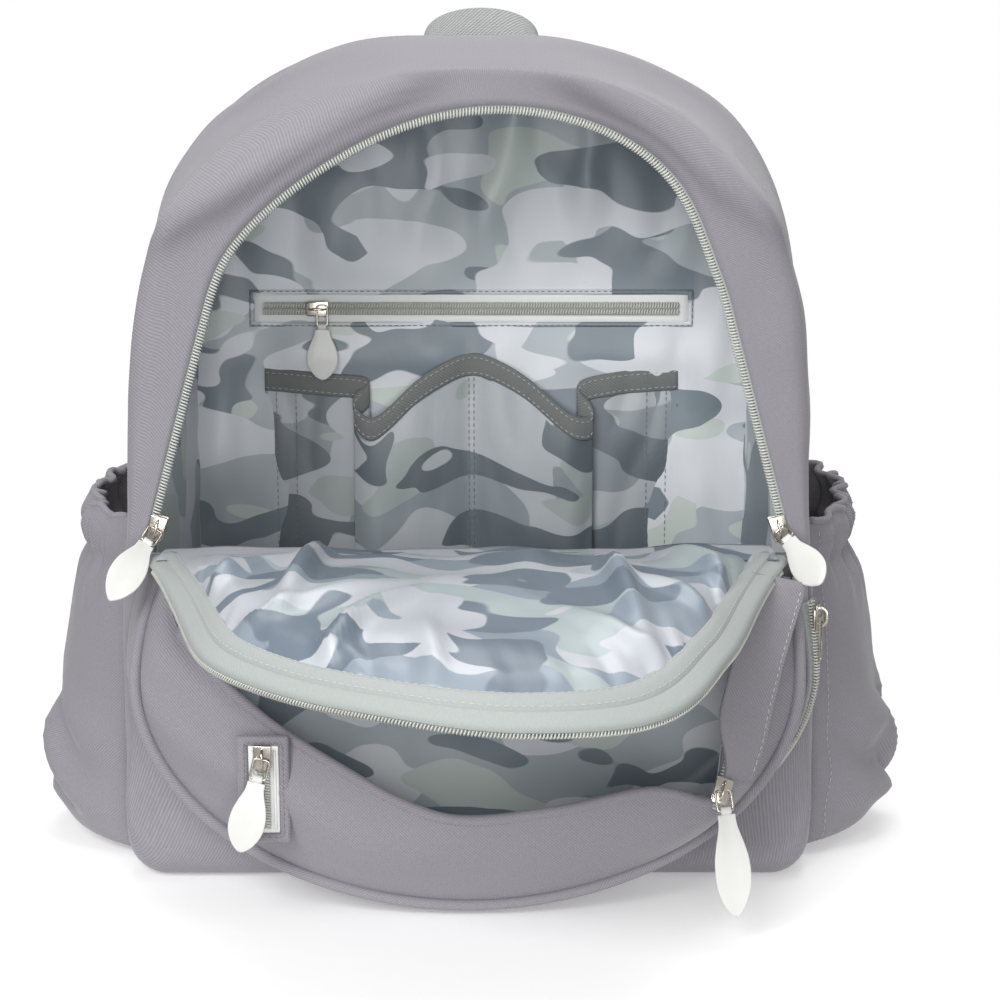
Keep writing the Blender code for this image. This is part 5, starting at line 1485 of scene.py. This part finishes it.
strapShape = dict(
    half=0.030, thick=0.0100,
    path=((0.040, 0.0752, 0.350), (0.043, 0.094, 0.315), (0.050, 0.106, 0.265), (0.062, 0.111, 0.205),
        (0.075, 0.107, 0.150), (0.086, 0.098, 0.108)),
    web=((0.0885, 0.0955, 0.094), (0.096, 0.086, 0.064), (0.110, 0.075, 0.038), (0.121, 0.0704, 0.020)),
        webHalf=0.0115,
)
for side, mirror in (("r", 1), ("l", -1)):
    path = [Vector((mirror * p.x, p.y, p.z)) for p in smoothPath(strapShape["path"], 60)]
    rows = []
    for k, p in enumerate(path):
        way = (path[min(k + 1, 60)] - path[max(k - 1, 0)]).normalized()
        face = Vector((1, 0, 0)).cross(way).normalized()
        if face.y < 0:
            face = -face
        wide = strapShape["half"] * (0.80 + 0.20 * ease(k, 0, 14)) * (1 - 0.42 * ease(k, 48, 60))
        thick = strapShape["thick"] / 2 * (0.45 + 0.55 * ease(k, 0, 6)) * (1 - 0.55 * ease(k, 52, 60))
        row = []
        for a in range(49):
            angle = 2 * math.pi * a / 48
            u = math.copysign(abs(math.cos(angle)) ** 0.62, math.cos(angle))
            v = math.copysign(abs(math.sin(angle)) ** 0.62, math.sin(angle))
            quilt = 1 - 0.34 * hump(abs(u), 0.72, 0.07)
            puff = 1 + 0.10 * ripple(u * 0.03, k * 0.004, mirror, 0.02)
            row.append(p + Vector((1, 0, 0)) * (u * wide) + face * (v * thick * quilt * puff))
        rows.append(row)
    data = clothGrid(f"strap_pad_cloth_{side}", rows, closed=True, caps=True)
    mesh = bmesh.new()
    mesh.from_mesh(data)
    bmesh.ops.recalc_face_normals(mesh, faces=mesh.faces)
    mesh.to_mesh(data)
    mesh.free()
    pad = finish(f"strap_pad_cloth_{side}", data, greyCanvas, f"strap_{side}",
        (f"strap_pad_{side}",))
    strapWay = [Vector((mirror * p.x, p.y, p.z)) for p in smoothPath(strapShape["web"], 32)][8:]
    rows = []
    for p in strapWay:
        rows.append([p + Vector((a, b, 0)) for a, b in strapSection(strapShape["webHalf"], 0.0008, 0.0006)])
    finish(f"strap_web_{side}", clothGrid(f"strap_web_{side}", rows, closed=True, caps=True), webbing,
        "bag", (f"strap_webbing_{side}",))
    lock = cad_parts[f"ladder_lock_{side}"]
    lock.data.materials.clear()
    lock.data.materials.append(boardPlastic)

handle = dict(span=0.0265, rise=0.0140, y=0.052, z=0.3665, wide=(0.006, 0.0115), thick=0.0008)
rows = []
for k in range(49):
    a = math.pi * k / 48
    place = Vector((0.0050 - handle["span"] * math.cos(a), handle["y"],
        handle["z"] + handle["rise"] * math.sin(a) ** 0.8))
    wide = lerp(handle["wide"][0], handle["wide"][1], math.sin(a) ** 0.7)
    lean = math.radians(56) * math.sin(a) ** 0.6
    across = Vector((0, math.cos(lean), math.sin(lean)))
    way = Vector((math.sin(a), 0, math.cos(a) * 0.5)).normalized()
    face = across.cross(way).normalized()
    place = place - Vector((0, 0, math.sin(lean) * wide * 0.85))
    rows.append([place + across * u + face * v for u, v in strapSection(wide, handle["thick"], 0.0006)])
finish("grab_loop", clothGrid("grab_loop", rows, closed=True, caps=True), webbing, "handle",
    ("grab_handle",))
print("back and straps made")

# hard parts that stay as drawn

for name, finishOf in (("base_board", boardPlastic), ("side_pull", nickel)):
    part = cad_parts[name]
    part.data.materials.clear()
    part.data.materials.append(finishOf)

floorMesh = bmesh.new()
bmesh.ops.create_grid(floorMesh, x_segments=1, y_segments=1, size=6.0,
    matrix=Matrix.Translation((0, 0, -0.0006)))
floorData = bpy.data.meshes.new("floor")
floorMesh.to_mesh(floorData)
floorMesh.free()
floor = bpy.data.objects.new("floor", floorData)
scene.collection.objects.link(floor)
floorData.materials.append(paleFloor)

print("scene ready")
